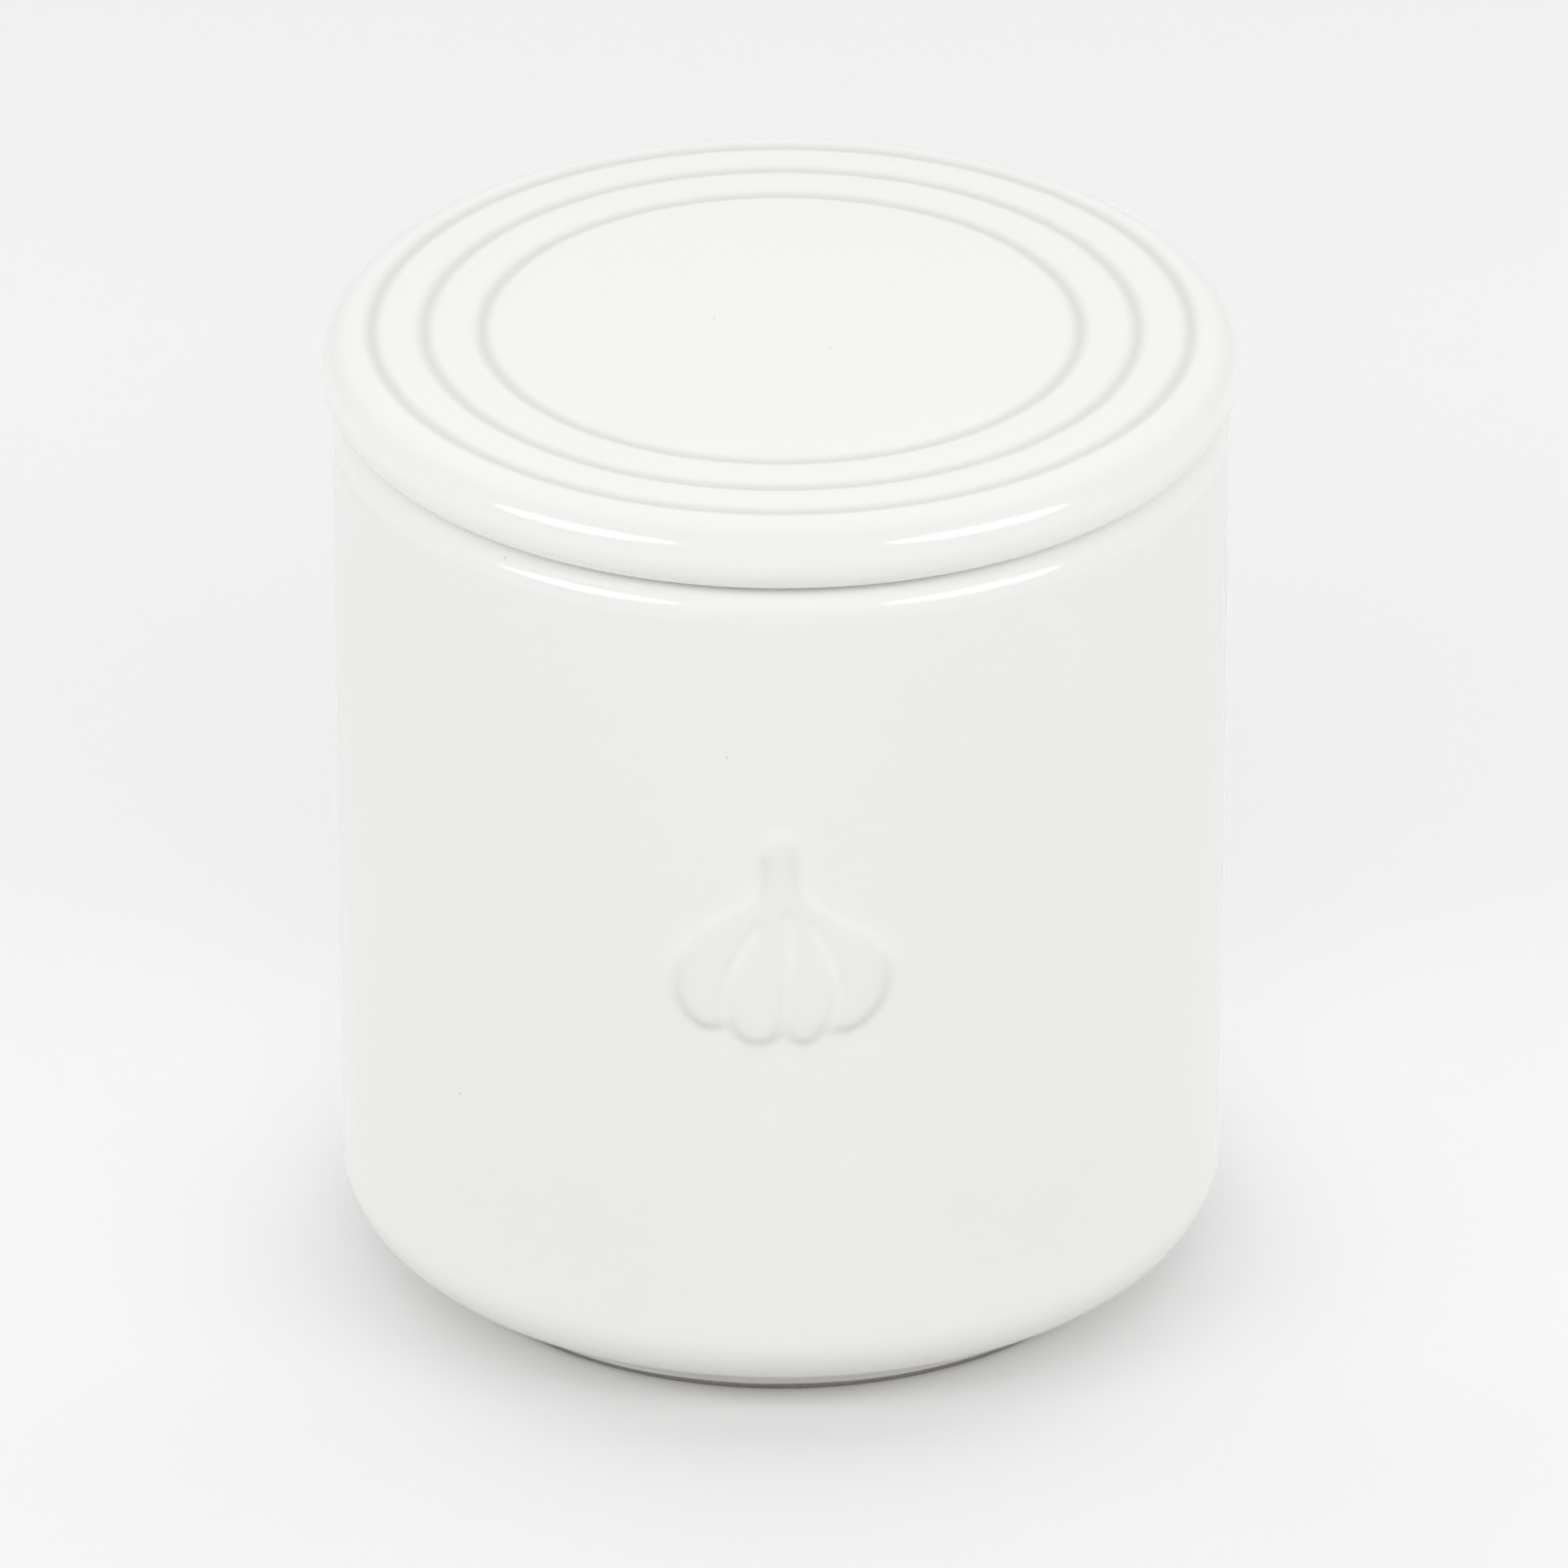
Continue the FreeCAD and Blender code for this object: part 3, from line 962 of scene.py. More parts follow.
@dataclass
class Crock:
    """The crock: foot ring, sloping underside, tapered wall, rounded rim, hollow, relief and air holes.

    Radii and heights are the solid's, to within a millimetre. The glaze stops short of the ground in a
    wavy line, and stands a little proud of the bare clay there. A pitch is a largest step between rows
    or columns of points.

    Args:
        seat: height of the rim that the lid rests on.
        wall_top: the outer wall's radius at the seat.
        taper: how much less this is at the bottom.
        wall: the wall's thickness.
        shoulder_round: rounding of the wall's upper edge.
        corner_round: rounding of its bottom corner.
        corner_height: height of that corner, were it sharp.
        foot_radius: the foot ring's outer radius.
        foot_width: its width.
        foot_height: how far it stands out of the underside.
        foot_round: rounding where it meets the underside.
        ground_round: rounding of its edges on the ground.
        recess: height of the underside within it.
        floor: height of the hollow's floor.
        inner_round: rounding of the hollow's corner.
        inner_margin: how far above that corner the hollow's even rows begin.
        rim_round: rounding of the mouth's edge.
        glaze_line: height at which the glaze stops on the foot.
        glaze_step: how far the glaze stands proud of the clay there.
        glaze_waves: number round the foot, height and start of each wave in the glaze's edge.
        glaze_fade: how far from the glaze line the waves fade out.
        wall_start: height at which the outer wall's even rows begin.
        wall_end: height at which they end.
        row_pitch: of the wall's rows.
        column_pitch: of its columns.
        inner_pitch: of the hollow's rows below the air holes.
        hole_pitch: of rows and columns over the air holes.
        relief_pitch: of rows and columns over the bulb.
        relief_margin: how far below the bulb the close rows begin.
        relief_half: how far to either side the close columns reach.
        above_relief: how far the rows above the bulb that are nearly as close reach.
        above_pitch: of these rows.
        beside_relief: how far the columns beside the bulb that are nearly as close reach.
        beside_pitch: of these columns.
        base_pitches: on straight runs and on arcs, from the underside to the wall.
        rim_pitches: the same over the rim.
        floor_pitches: the same on the hollow's floor.
        bulb: the raised bulb.
        glaze: how the glaze runs, and where shade and light are painted on it.
        holes: the air holes.
    """

    seat: float = 117.7
    wall_top: float = 56.2
    taper: float = 0.6
    wall: float = 7.0
    shoulder_round: float = 4.0
    corner_round: float = 8.6
    corner_height: float = 6.5
    foot_radius: float = 44.0
    foot_width: float = 5.2
    foot_height: float = 3.4
    foot_round: float = 0.5
    ground_round: float = 0.4
    recess: float = 2.6
    floor: float = 9.6
    inner_round: float = 8.0
    inner_margin: float = 1.0
    rim_round: float = 1.0
    glaze_line: float = 0.8
    glaze_step: float = 0.15
    glaze_waves: tuple[tuple[int, float, float], ...] = ((3, 0.09, 1.0), (7, 0.05, 2.0), (17, 0.03, 0.0))
    glaze_fade: float = 0.35
    wall_start: float = 16.0
    wall_end: float = 112.6
    row_pitch: float = 1.9
    column_pitch: float = 2.4
    inner_pitch: float = 3.0
    hole_pitch: float = 1.0
    relief_pitch: float = 0.3
    relief_margin: float = 1.0
    relief_half: float = 16.8
    above_relief: float = 1.5
    above_pitch: float = 0.5
    beside_relief: float = 6.0
    beside_pitch: float = 0.8
    base_pitches: tuple[float, float] = (3.0, 0.55)
    rim_pitches: tuple[float, float] = (0.7, 0.55)
    floor_pitches: tuple[float, float] = (4.0, 1.3)
    bulb: GarlicBulb = GarlicBulb()
    glaze: RunningGlaze = RunningGlaze()
    holes: AirHoles = AirHoles()

    def outer_radius(self, height: Array) -> Array:
        """Radius of the outer wall: it loses the taper evenly from the seat to the corner."""
        return self.wall_top - self.taper * (self.seat - height) / (self.seat - self.corner_height)

    def inner_radius(self, height: Array) -> Array:
        """Radius of the inner wall: it loses the taper evenly from the seat to the floor."""
        return self.wall_top - self.wall - self.taper * (self.seat - height) / (self.seat - self.floor)

    def lowest_hole_edge(self) -> float:
        """Height of the lower edge of the lowest air holes' patches."""
        return self.holes.heights()[-1] - self.holes.frame

    def wall_rows(self) -> Array:
        """Heights of the outer wall's rows: close over the relief, even over the air holes.

        Returns:
            The heights, rising.
        """
        low, high = self.holes.heights()[[-1, 0]]
        frame = self.holes.frame
        stops = (self.wall_start, self.bulb.base - self.relief_margin, self.lowest_hole_edge(),
                 self.lowest_hole_edge() + self.above_relief, low + frame, high - frame, high + frame,
                 self.wall_end)
        over_holes = (self.hole_pitch,) * 3
        pitches = (self.row_pitch, self.relief_pitch, self.above_pitch, *over_holes, self.row_pitch)
        return stepped(stops, pitches)

    def angles(self) -> Array:
        """The columns' angles: close over the relief, even over the air holes, wide elsewhere.

        Returns:
            The angles over one turn, rising from the relief's left side.
        """
        radius = self.outer_radius(self.holes.top_row)
        girth = 2 * math.pi * radius
        middles, frame = girth / 2 + self.holes.offsets(), self.holes.frame
        edges = np.stack([middles - frame, middles + frame], axis=1).ravel()
        half, beside = self.relief_half, self.relief_half + self.beside_relief
        stops = (-half, half, beside, *edges, girth - beside, girth - half)
        over_holes = (self.hole_pitch,) * (len(edges) - 1)
        pitches = (self.relief_pitch, self.beside_pitch, self.column_pitch, *over_holes, self.column_pitch,
                   self.beside_pitch)
        return stepped(stops, pitches)[:-1] / radius

    def profile(self) -> Array:
        """The crock's profile, from the middle of its underside round to the middle of its floor.

        Returns:
            Rows of radius and height.
        """
        foot, inner_foot = self.foot_radius, self.foot_radius - self.foot_width
        line, step = self.glaze_line, self.glaze_step
        low = np.array([
            (0, self.recess, 0),
            (inner_foot, self.recess, self.foot_round),
            (inner_foot, line, step / 2),
            (inner_foot + step, line - step, step / 3),
            (inner_foot + step, 0, self.ground_round),
            (foot - step, 0, self.ground_round),
            (foot - step, line - step, step / 3),
            (foot, line, step / 2),
            (foot, self.foot_height, self.foot_round),
            (self.wall_top - self.taper, self.corner_height, self.corner_round),
            (self.outer_radius(self.wall_start), self.wall_start, 0),
        ])
        top = np.array([
            (self.outer_radius(self.wall_end), self.wall_end, 0),
            (self.wall_top, self.seat, self.shoulder_round),
            (self.wall_top - self.wall, self.seat, self.rim_round),
            (self.inner_radius(self.wall_end), self.wall_end, 0),
        ])
        rows = self.wall_rows()
        lowest = self.lowest_hole_edge()
        wide = stepped((self.floor + self.inner_round + self.inner_margin, lowest), (self.inner_pitch,))[:-1]
        inner = np.concatenate([wide, rows[rows > lowest - SLACK]])[::-1]
        bottom = np.array([
            (self.inner_radius(inner[-1]), inner[-1], 0),
            (self.inner_radius(self.floor), self.floor, self.inner_round),
            (0, self.floor, 0),
        ])
        return np.vstack([
            rounded_path(low, *self.base_pitches),
            np.stack([self.outer_radius(rows), rows], axis=1)[1:-1],
            rounded_path(top, *self.rim_pitches),
            np.stack([self.inner_radius(inner), inner], axis=1)[1:-1],
            rounded_path(bottom, *self.floor_pitches),
        ])

    def glaze_wander(self, profile: Array, angles: Array) -> Array:
        """How far the glaze's lower edge wanders up and down: a few sines of the angle.

        They fade out evenly above and below the glaze line, and outside the foot ring.

        Args:
            profile: rows of radius and height.
            angles: the columns' angles.

        Returns:
            What is added to the height at each row and column.
        """
        wander = sum(size * np.sin(number * angles + start) for number, size, start in self.glaze_waves)
        near = np.clip(1 - np.abs(profile[:, 1] - self.glaze_line) / self.glaze_fade, 0, 1)
        on_foot = profile[:, 0] > self.foot_radius - self.foot_width - SLACK
        return (near * on_foot)[:, None] * wander

    def coat(self, profile: Array, angles: Array) -> tuple[Array, Array, Array]:
        """Raise the bulb, and spread the glaze over it and over the whole crock, with painted shade and
        painted light.

        Where the pooled share, which low on the outer wall is painted light, covers what is thin, the thin
        share is raised to show through.

        Args:
            profile: rows of radius and height.
            angles: the columns' angles.

        Returns:
            At each row and column, what the bulb adds to the radius, the share of thin glaze with painted
            shade, and the share of pooled glaze with painted light.
        """
        radius, height = profile.T
        outside = np.arange(len(profile)) < int(np.argmax(height))
        lowest = self.bulb.base - self.relief_margin - SLACK
        highest = self.lowest_hole_edge() + self.above_relief + SLACK
        over_bulb = outside & (height > lowest) & (height < highest)
        front = angles * self.outer_radius(self.holes.top_row) < self.relief_half + SLACK
        patch = np.ix_(over_bulb, front)
        across = radius[over_bulb, None] * np.sin(angles[front])
        up = np.broadcast_to(height[over_bulb, None], across.shape)
        places = height[over_bulb], angles[front] * self.wall_top
        clay = self.bulb.height(across, up)
        lift = np.zeros((len(profile), len(angles)))
        lift[patch] = evened(clay, *places, self.glaze.even_reach)

        thin = np.repeat(thin_over_edges(profile)[:, None], len(angles), axis=1)
        # Painted light: the outer wall is lighter towards its bottom, standing in for light thrown back by
        # the floor.
        pooled = np.repeat((self.glaze.painted_bounce_light(height) * outside)[:, None], len(angles), axis=1)
        grooved = self.bulb.in_groove(across, up)
        # Over the bulb, painted shade on slopes that face down and aside, and painted highlight on slopes
        # that face up.
        run_thin_and_shade, run_pooled_and_light = self.glaze.over_relief(clay, lift[patch], grooved, *places)
        thin[patch] = np.clip(run_thin_and_shade / (1 - pooled[patch]), 0, 1)
        pooled[patch] = np.clip(run_pooled_and_light + pooled[patch], 0, 1)
        return lift, thin, pooled

    def make(self, materials: dict[Finish, bpy.types.Material]) -> bpy.types.Object:
        """Build the crock's mesh and dress it.

        Args:
            materials: a material for each finish.

        Returns:
            The crock, as one piece.
        """
        profile, angles = self.profile(), self.angles()
        lift, thin, pooled = self.coat(profile, angles)
        middle = (profile[:-1] + profile[1:]) / 2
        inner_foot = self.foot_radius - self.foot_width
        bare = (middle[:, 1] < self.glaze_line - self.glaze_step) & (middle[:, 0] > inner_foot)
        finish = np.where(bare, Finish.BARE_CLAY.value, Finish.GLAZE.value)

        keep = np.ones((len(profile) - 1, len(angles)), bool)
        patches = self.hole_patches(profile, angles)
        for patch in patches:
            columns = slice(patch.columns[0], patch.columns[-1])
            keep[patch.outer[0]:patch.outer[-1], columns] = False
            keep[patch.inner[-1]:patch.inner[0], columns] = False
        surface = Surface("crock_body")
        turned = Turned(profile, angles, lift, self.glaze_wander(profile, angles))
        numbers = turned.add_to(surface, thin, pooled, finish, keep)
        grid = turned.grid()
        for patch in patches:
            self.add_hole(surface, grid, numbers, patch)
        return surface.build(materials)

    def hole_patches(self, profile: Array, angles: Array) -> list[HolePatch]:
        """The square patch of wall that each air hole takes.

        Args:
            profile: rows of radius and height.
            angles: the columns' angles.

        Returns:
            A patch for each hole, from the upper row down.
        """
        heights = profile[:, 1]
        before_rim = np.arange(len(profile)) < int(np.argmax(heights))
        radius = self.outer_radius(self.holes.top_row)
        reach = self.holes.frame + SLACK
        patches = []
        for height in self.holes.heights():
            close = np.abs(heights - height) < reach
            outer, inner = np.flatnonzero(close & before_rim), np.flatnonzero(close & ~before_rim)[::-1]
            for offset in self.holes.offsets():
                turn = math.pi + offset / radius
                columns = np.flatnonzero(np.abs(angles - turn) * radius < reach)
                patches.append(HolePatch(outer, inner, columns, turn, height))
        return patches

    def add_hole(self, surface: Surface, grid: Array, numbers: Array, patch: HolePatch) -> None:
        """Add one air hole: rings from the outer square rim, down the bore, to the inner square rim.

        The bore between the two lips is a straight blend of their last rings.

        Args:
            surface: the mesh in the making.
            grid: the wall's points at each row and column.
            numbers: their numbers.
            patch: the patch of wall that the hole takes.
        """
        out_rim, in_rim = patch.rim(patch.outer), patch.rim(patch.inner)
        out_rings, out_thin = self.holes.rings(grid[out_rim], patch, self.outer_radius, -1.0)
        in_rings, in_thin = self.holes.rings(grid[in_rim], patch, self.inner_radius, 1.0)
        share = np.array(self.holes.bore_blends)[:, None, None]
        bore = (1 - share) * out_rings[-1] + share * in_rings[-1]
        rings = np.concatenate([out_rings, bore, in_rings[::-1]])
        thin = np.concatenate([out_thin, np.zeros(len(bore)), in_thin[::-1]])[:, None]
        made = surface.add_points(rings, thin, np.zeros_like(thin))
        loops = np.vstack([numbers[out_rim][None], made, numbers[in_rim][None]])
        surface.add_faces(quads_between(loops), Finish.GLAZE.value)


# ---------------------------------------------------------------------------------------- lid
@dataclass
class Lid:
    """The lid: flat top with three ring grooves, fully rounded rim, and a collar that enters the mouth.

    Args:
        radius: of the rim.
        seat: height of the crock's rim that the lid rests on.
        thickness: of the lid above the seat.
        rim_reach: how far the rounded rim reaches in from the radius.
        rim_steps: how many points its profile gets.
        rim_painted_shade: share of the thin colour, as painted shade, down the rim.
        rim_shade_starts: depths below the top between which this painted shade begins.
        rim_shade_ends: depths between which it ends.
        groove_radii: of the ring grooves' middles.
        groove_width: of each.
        groove_depth: of each.
        groove_painted_shade: share of the thin colour, as painted shade, in the middle of a groove.
        groove_reach: how far from its middle this has fallen by two thirds.
        collar_radius: the collar's outer radius.
        collar_wall: its thickness.
        collar_depth: how far it reaches below the seat.
        collar_root_round: rounding where it meets the lid.
        collar_end_round: rounding of its lower edges.
        bare_end: how far up its lower end is bare clay.
        plate: thickness of the plate within the collar.
        recess_round: rounding of the corner between plate and collar.
        pitches: largest steps below, on straight runs and on arcs.
        flat_pitch: largest step on the top between grooves.
        groove_pitch: largest step in a groove.
        columns: how many columns of points go round.
    """

    radius: float = 57.5
    seat: float = 117.7
    thickness: float = 9.5
    rim_reach: float = 5.2
    rim_steps: int = 52
    rim_painted_shade: float = 0.28
    rim_shade_starts: tuple[float, float] = (0.2, 1.8)
    rim_shade_ends: tuple[float, float] = (5.0, 7.0)
    groove_radii: tuple[float, ...] = (37.3, 44.5, 51.1)
    groove_width: float = 3.4
    groove_depth: float = 0.40
    groove_painted_shade: float = 0.75
    groove_reach: float = 0.85
    collar_radius: float = 48.2
    collar_wall: float = 5.0
    collar_depth: float = 12.0
    collar_root_round: float = 0.8
    collar_end_round: float = 1.6
    bare_end: float = 0.25
    plate: float = 7.0
    recess_round: float = 3.5
    pitches: tuple[float, float] = (3.0, 0.5)
    flat_pitch: float = 3.0
    groove_pitch: float = 0.2
    columns: int = 420

    def top(self) -> float:
        """Height of the flat top."""
        return self.seat + self.thickness

    def collar_end(self) -> float:
        """Height of the collar's lower end."""
        return self.seat - self.collar_depth

    def under_path(self) -> Array:
        """The profile below, from the middle of the plate round the collar to the rim's start.

        Returns:
            Rows of radius and height.
        """
        roof, end = self.top() - self.plate, self.collar_end()
        bore = self.collar_radius - self.collar_wall
        under = np.array([
            (0, roof, 0),
            (bore, roof, self.recess_round),
            (bore, end, self.collar_end_round),
            (self.collar_radius, end, self.collar_end_round),
            (self.collar_radius, self.seat, self.collar_root_round),
            (self.radius - self.rim_reach, self.seat, 0),
        ])
        return rounded_path(under, *self.pitches)

    def top_path(self) -> Array:
        """The profile of the flat top without its grooves, from the rim in to its middle.

        Returns:
            Rows of radius and height.
        """
        half = self.groove_width / 2
        stops = [0.0]
        pitches = []
        for middle in self.groove_radii:
            stops += [middle - half, middle + half]
            pitches += [self.flat_pitch, self.groove_pitch]
        across = stepped(tuple(stops), tuple(pitches))
        across = across[across < self.radius - self.rim_reach][::-1]
        return np.stack([across, np.full_like(across, self.top())], axis=1)

    def groove_drop(self, radius: Array) -> Array:
        """How deep the top lies below its flat: each groove is a squared cosine across its width.

        Args:
            radius: places across the lid.

        Returns:
            One depth for each place.
        """
        drop = np.zeros_like(radius)
        for middle in self.groove_radii:
            share = np.clip((radius - middle) / self.groove_width, -0.5, 0.5)
            drop += self.groove_depth * np.cos(math.pi * share) ** 2
        return drop

    def profile(self) -> Array:
        """The lid's profile, from the middle of its underside round to the middle of its top.

        The rim is half an ellipse: centre plus the reach times cos b and half the thickness times
        sin b, with b from straight down to straight up. The outermost groove cuts a little into it.

        Returns:
            Rows of radius and height.
        """
        bend = np.linspace(-math.pi / 2, math.pi / 2, self.rim_steps)[1:]
        rim = np.stack([self.radius - self.rim_reach + self.rim_reach * np.cos(bend),
                        self.seat + self.thickness / 2 * (1 + np.sin(bend))], axis=1)
        profile = np.vstack([self.under_path(), rim, self.top_path()])
        above = np.arange(len(profile)) > int(np.argmax(profile[:, 0]))
        profile[:, 1] -= np.where(above, self.groove_drop(profile[:, 0]), 0)
        return profile

    def thin_glaze_and_shade(self, profile: Array) -> Array:
        """Share of thin glaze over edges below, and of painted shade in the grooves and down the rim.

        Args:
            profile: rows of radius and height.

        Returns:
            One share for each row.
        """
        radius, depth = profile[:, 0], self.top() - profile[:, 1]
        below = np.arange(len(profile)) < int(np.argmax(radius))
        # Painted shade in the ring grooves.
        grooves = sum(bell(radius - middle, self.groove_reach) for middle in self.groove_radii)
        thin = np.where(below, thin_over_edges(profile), self.groove_painted_shade * grooves)
        # Painted shade down the rim, from just below its top to a little below its widest.
        over_rim = smooth_rise(depth, *self.rim_shade_starts) * smooth_fall(depth, *self.rim_shade_ends)
        on_rim = radius > self.radius - self.rim_reach
        return np.where(on_rim, np.maximum(thin, self.rim_painted_shade * over_rim), thin)

    def make(self, materials: dict[Finish, bpy.types.Material]) -> bpy.types.Object:
        """Build the lid's mesh and dress it.

        Args:
            materials: a material for each finish.

        Returns:
            The lid, as one piece.
        """
        profile = self.profile()
        angles = np.arange(self.columns) * 2 * math.pi / self.columns
        plain = np.zeros((len(profile), self.columns))
        middle = (profile[:-1] + profile[1:]) / 2
        bare = middle[:, 1] < self.collar_end() + self.bare_end
        finish = np.where(bare, Finish.BARE_CLAY.value, Finish.GLAZE.value)
        thin = np.repeat(self.thin_glaze_and_shade(profile)[:, None], self.columns, axis=1)
        surface = Surface("lid_body")
        turned = Turned(profile, angles, plain, plain)
        turned.add_to(surface, thin, plain, finish, np.ones((len(middle), self.columns), bool))
        return surface.build(materials)


# ---------------------------------------------------------------------------------------- studio
def heading(azimuth: float, elevation: float) -> tuple[float, float, float]:
    """Unit vector towards so many degrees round from the front, to the right, and above the horizon."""
    round_, up = math.radians(azimuth), math.radians(elevation)
    return math.sin(round_) * math.cos(up), -math.cos(round_) * math.cos(up), math.sin(up)


@dataclass(frozen=True)
class SoftBox:
    """A long oval soft light that faces the keeper.

    Args:
        name: the lamp's name.
        azimuth: degrees round from the front, to the right.
        elevation: degrees above the horizon.
        distance: metres from the keeper's middle.
        width: metres.
        height: metres.
        roll: degrees that it is turned in its own plane, its right end, seen from behind it, up.
        power: watts.
    """

    name: str
    azimuth: float
    elevation: float
    distance: float
    width: float
    height: float
    roll: float
    power: float

    def make(self, middle: Vector) -> None:
        """Hang the lamp and turn it to the keeper.

        Args:
            middle: the keeper's middle.
        """
        lamp = bpy.data.lights.new(self.name, "AREA")
        lamp.shape = "ELLIPSE"
        lamp.size = self.width
        lamp.size_y = self.height
        lamp.energy = self.power
        away = Vector(heading(self.azimuth, self.elevation))
        rolled = Quaternion((0.0, 0.0, 1.0), math.radians(self.roll))
        holder = add_object(self.name, lamp)
        holder.location = middle + away * self.distance
        holder.rotation_mode = "QUATERNION"
        holder.rotation_quaternion = (-away).to_track_quat("-Z", "Y") @ rolled


@dataclass(frozen=True)
class Glow:
    """A soft bright patch of the sky.

    Args:
        azimuth: degrees round from the front, to the right.
        elevation: degrees above the horizon.
        reach: degrees from its middle to where it has faded out.
        strength: how much it adds to the sky in its middle.
    """

    azimuth: float
    elevation: float
    reach: float
    strength: float

    def add_to(self, tree: bpy.types.NodeTree, direction: bpy.types.NodeSocket) -> bpy.types.NodeSocket:
        """Add its nodes: the cosine of the angle from its middle, eased from nought to its strength.

        Args:
            tree: the world's tree.
            direction: the direction looked in.

        Returns:
            What it adds to the sky in that direction.
        """
        cosine = add_node(
            tree, "VectorMath", {"operation": "DOT_PRODUCT", 1: heading(self.azimuth, self.elevation)},
            {0: direction},
        )
        return add_node(
            tree, "MapRange",
            {"interpolation_type": "SMOOTHSTEP", "From Min": math.cos(math.radians(self.reach)),
             "From Max": 1.0, "To Max": self.strength},
            {"Value": cosine.outputs["Value"]},
        ).outputs["Result"]


def is_looked_at(tree: bpy.types.NodeTree) -> bpy.types.NodeSocket:
    """Add the nodes that tell rays that look from rays that light.

    Args:
        tree: the tree of a material or of the world.

    Returns:
        One where the camera, a mirror or clear glass looks, and nought for other light.
    """
    path = add_node(tree, "LightPath", {}, {})
    seen = path.outputs["Is Camera Ray"]
    for other in ("Is Glossy Ray", "Is Transmission Ray"):
        seen = add_node(tree, "Math", {"operation": "MAXIMUM"}, {0: seen, 1: path.outputs[other]}).outputs[0]
    return seen


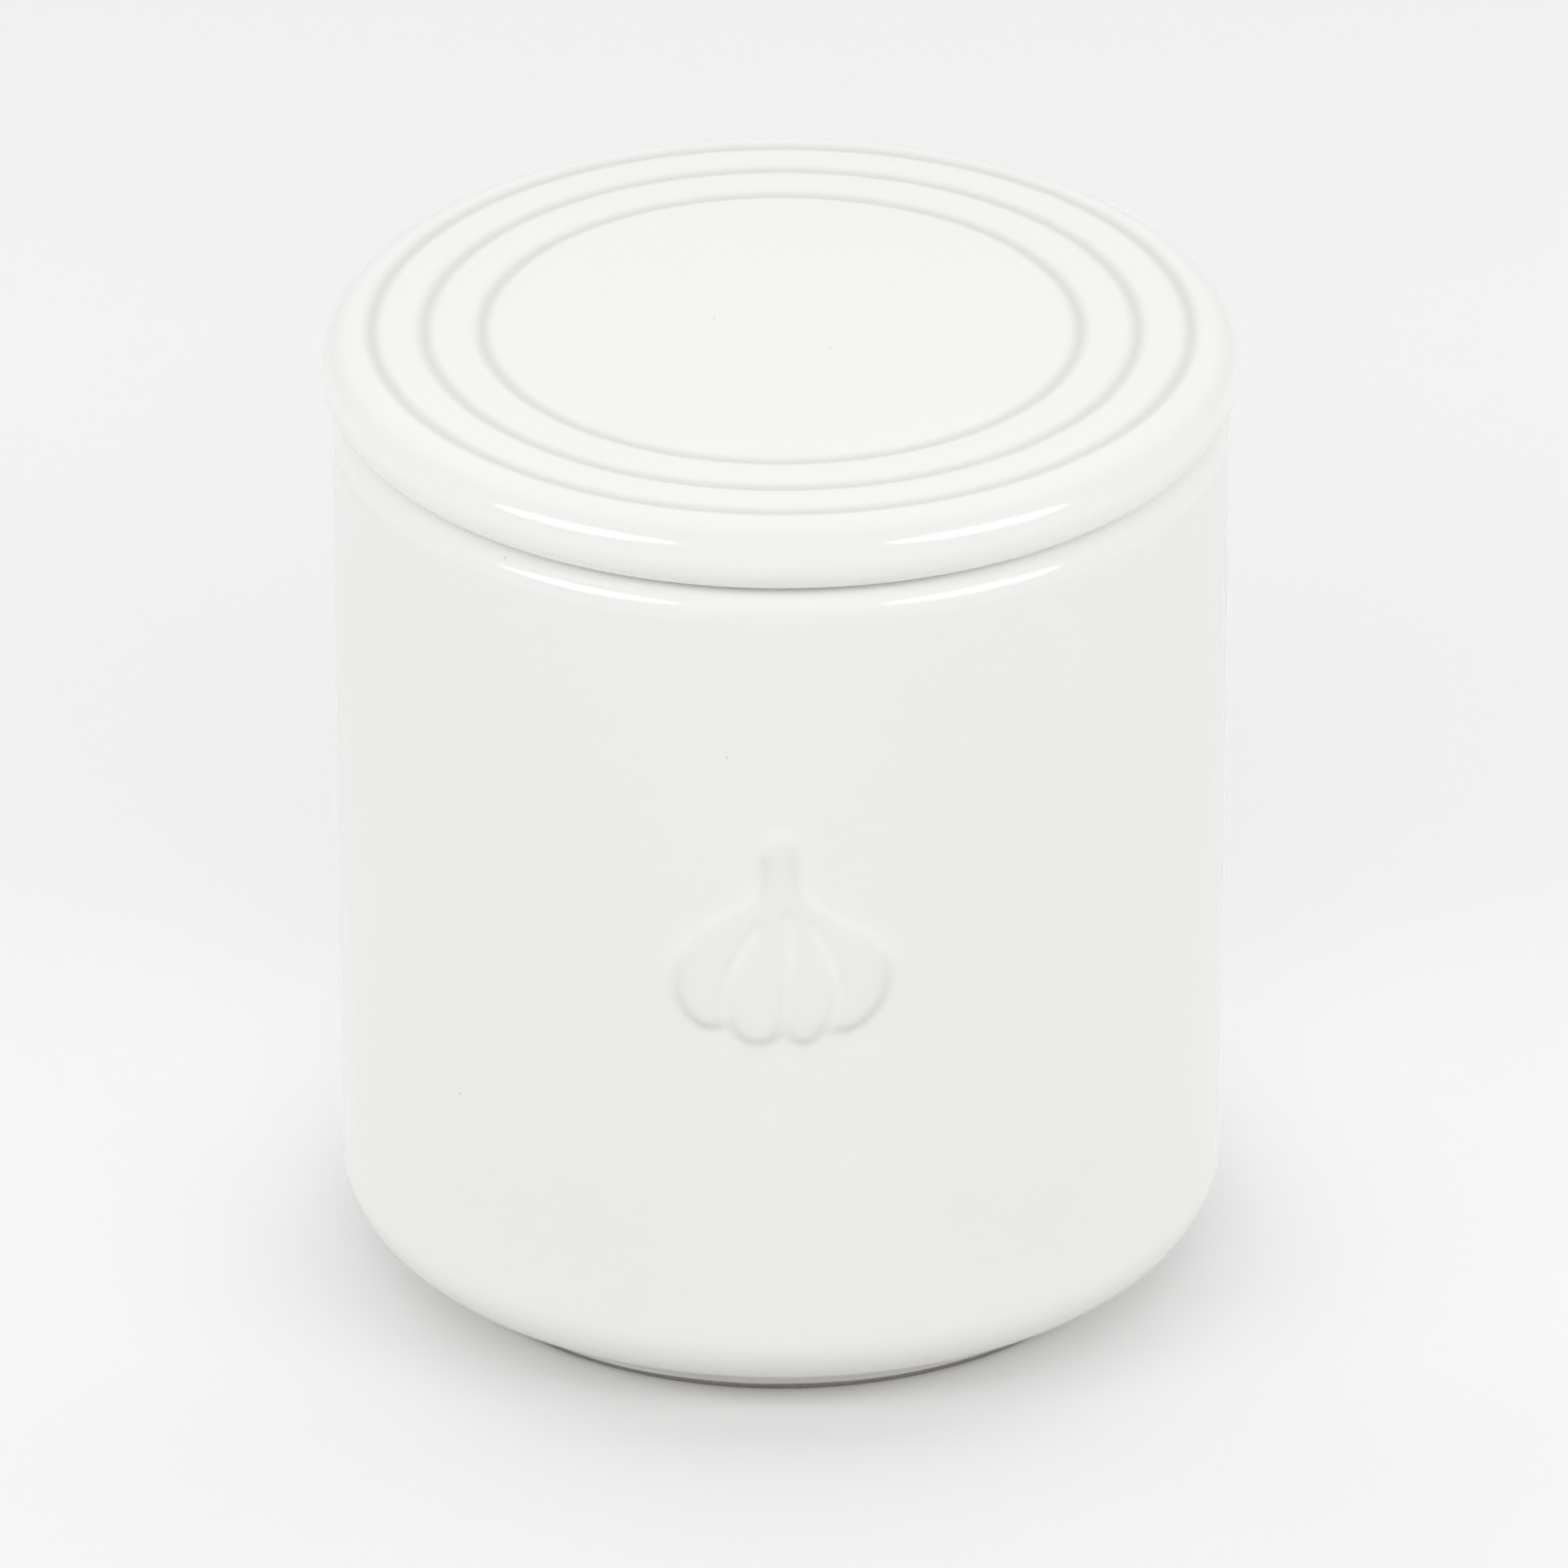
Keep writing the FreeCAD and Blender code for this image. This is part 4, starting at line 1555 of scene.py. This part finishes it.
@dataclass(frozen=True)
class Studio:
    """Pale floor, plain sky, soft lamps and the camera.

    The floor is pale where it is seen or mirrored, and a plainer grey in the light that it throws back.

    Args:
        floor_hex: the floor's colour where it is seen.
        bounce_hex: its colour for the light that it throws back.
        floor_roughness: of the matt board.
        floor_specular: how much it mirrors.
        floor_side: metres.
        backdrop: strength of the sky where it is seen or mirrored.
        horizon: strength of the light from the horizon.
        horizon_top: sine of the elevation where this has faded out.
        glows: bright patches of the sky.
        lamps: the soft boxes.
        lens: the camera's focal length, in millimetres.
        sensor: its sensor's width, in millimetres.
        clip: nearest and farthest that it sees, in metres.
        camera_tilt: degrees that it looks down.
        camera_distance: metres from what it aims at.
        camera_aim: what it aims at, in metres.
    """

    floor_hex: str = "#F1F1F1"
    bounce_hex: str = "#D4D4D4"
    floor_roughness: float = 0.9
    floor_specular: float = 0.2
    floor_side: float = 40.0
    backdrop: float = 0.60
    horizon: float = 0.02
    horizon_top: float = 0.3
    glows: tuple[Glow, ...] = (
        Glow(0.0, 30.0, 40.0, 2.10),
        Glow(-90.0, 10.0, 50.0, 0.16),
        Glow(90.0, 10.0, 50.0, 0.16),
        Glow(-125.0, 10.0, 65.0, 1.52),
        Glow(125.0, 10.0, 65.0, 1.52),
        Glow(180.0, 10.0, 50.0, 0.79),
        Glow(180.0, 50.0, 45.0, 0.47),
    )
    lamps: tuple[SoftBox, ...] = (
        SoftBox("strip_left", -52.0, 32.0, 1.2, 0.95, 0.40, 18.0, 3.65),
        SoftBox("strip_right", 52.0, 32.0, 1.2, 0.95, 0.42, -18.0, 3.65),
    )
    lens: float = 629.5
    sensor: float = 36.0
    clip: tuple[float, float] = (0.1, 100.0)
    camera_tilt: float = 27.4
    camera_distance: float = 3.45
    camera_aim: tuple[float, float, float] = (0.00035, 0.0, 0.06278)

    def make(self) -> None:
        """Set the floor, the sky, the lamps, the camera and the view transform."""
        self.make_floor()
        self.make_sky()
        for lamp in self.lamps:
            lamp.make(Vector(self.camera_aim))
        self.make_camera()
        bpy.context.scene.view_settings.view_transform = "Standard"

    def make_floor(self) -> None:
        """A large matt board that the keeper stands on."""
        half = self.floor_side / 2
        corners = [(-half, -half, 0), (half, -half, 0), (half, half, 0), (-half, half, 0)]
        mesh = bpy.data.meshes.new("studio_floor")
        mesh.from_pydata(corners, [], [(0, 1, 2, 3)])
        material = bpy.data.materials.new("matt_painted_board")
        tree = emptied_tree(material)
        colour = add_node(
            tree, "Mix",
            {"data_type": "RGBA", MIX_A: linear(self.bounce_hex), MIX_B: linear(self.floor_hex)},
            {MIX_FACTOR: is_looked_at(tree)},
        )
        board = add_node(
            tree, "BsdfPrincipled",
            {"Roughness": self.floor_roughness, "Specular IOR Level": self.floor_specular},
            {"Base Color": colour.outputs[MIX_COLOUR]},
        )
        add_node(tree, "OutputMaterial", {}, {"Surface": board.outputs["BSDF"]})
        mesh.materials.append(material)
        floor = add_object("studio_floor", mesh)

    def make_sky(self) -> None:
        """Soft light from the horizon and the glows, and a pale backdrop where it is seen or mirrored."""
        world = bpy.data.worlds.new("studio_sky")
        bpy.context.scene.world = world
        tree = emptied_tree(world)
        direction = add_node(tree, "TexCoord", {}, {}).outputs["Generated"]
        height = add_node(tree, "SeparateXYZ", {}, {0: direction}).outputs["Z"]
        sky = add_node(
            tree, "MapRange",
            {"interpolation_type": "SMOOTHSTEP", "From Min": self.horizon_top, "From Max": 0.0,
             "To Max": self.horizon},
            {"Value": height},
        ).outputs["Result"]
        for glow in self.glows:
            more = glow.add_to(tree, direction)
            sky = add_node(tree, "Math", {"operation": "ADD"}, {0: sky, 1: more}).outputs[0]
        strength = add_node(
            tree, "MapRange", {"To Max": self.backdrop}, {"Value": is_looked_at(tree), "To Min": sky}
        )
        light = add_node(
            tree, "Background", {"Color": linear("#FFFFFF")}, {"Strength": strength.outputs["Result"]}
        )
        add_node(tree, "OutputWorld", {}, {"Surface": light.outputs["Background"]})

    def make_camera(self) -> None:
        """A long lens that looks down on the keeper from the front."""
        camera = bpy.data.cameras.new("camera")
        camera.lens = self.lens
        camera.sensor_width = self.sensor
        camera.clip_start, camera.clip_end = self.clip
        holder = add_object("camera", camera)
        away = Vector(heading(0.0, self.camera_tilt))
        holder.location = Vector(self.camera_aim) + away * self.camera_distance
        holder.rotation_euler = (math.pi / 2 - math.radians(self.camera_tilt), 0.0, 0.0)
        bpy.context.scene.camera = holder


def place(piece: bpy.types.Object, node: str, slot: str) -> None:
    """Let a piece take its CAD node's place: it rides on the body of the same name, and the node is hidden.

    Args:
        piece: the piece.
        node: the CAD node's name.
        slot: not used.
    """
    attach(piece, node)
    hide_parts(node)
    log.info("%s: %d points, %d faces", piece.name, len(piece.data.vertices), len(piece.data.polygons))


def main() -> None:
    """Load the frame, build the crock and the lid in their places, and set up the studio."""
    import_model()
    clay = BareStoneware().make()
    crock_glaze = GlazedStoneware("white_glazed_stoneware_crock").make()
    # Painted light: the lid takes the crock's glaze in a lighter colour, for the light its upward-facing top
    # catches.
    lid_glaze = GlazedStoneware(
        "white_glazed_stoneware_lid_painted_lighter", body_hex="#F0F0EE", cloud_hex="#F2F2F0"
    ).make()
    crock = Crock().make({Finish.GLAZE: crock_glaze, Finish.BARE_CLAY: clay})
    place(crock, "crock", "crock_glaze")
    lid = Lid().make({Finish.GLAZE: lid_glaze, Finish.BARE_CLAY: clay})
    place(lid, "lid", "lid_glaze")
    Studio().make()


if __name__ == "__main__":
    logging.basicConfig(level=logging.INFO, format="%(name)s: %(message)s")
    main()
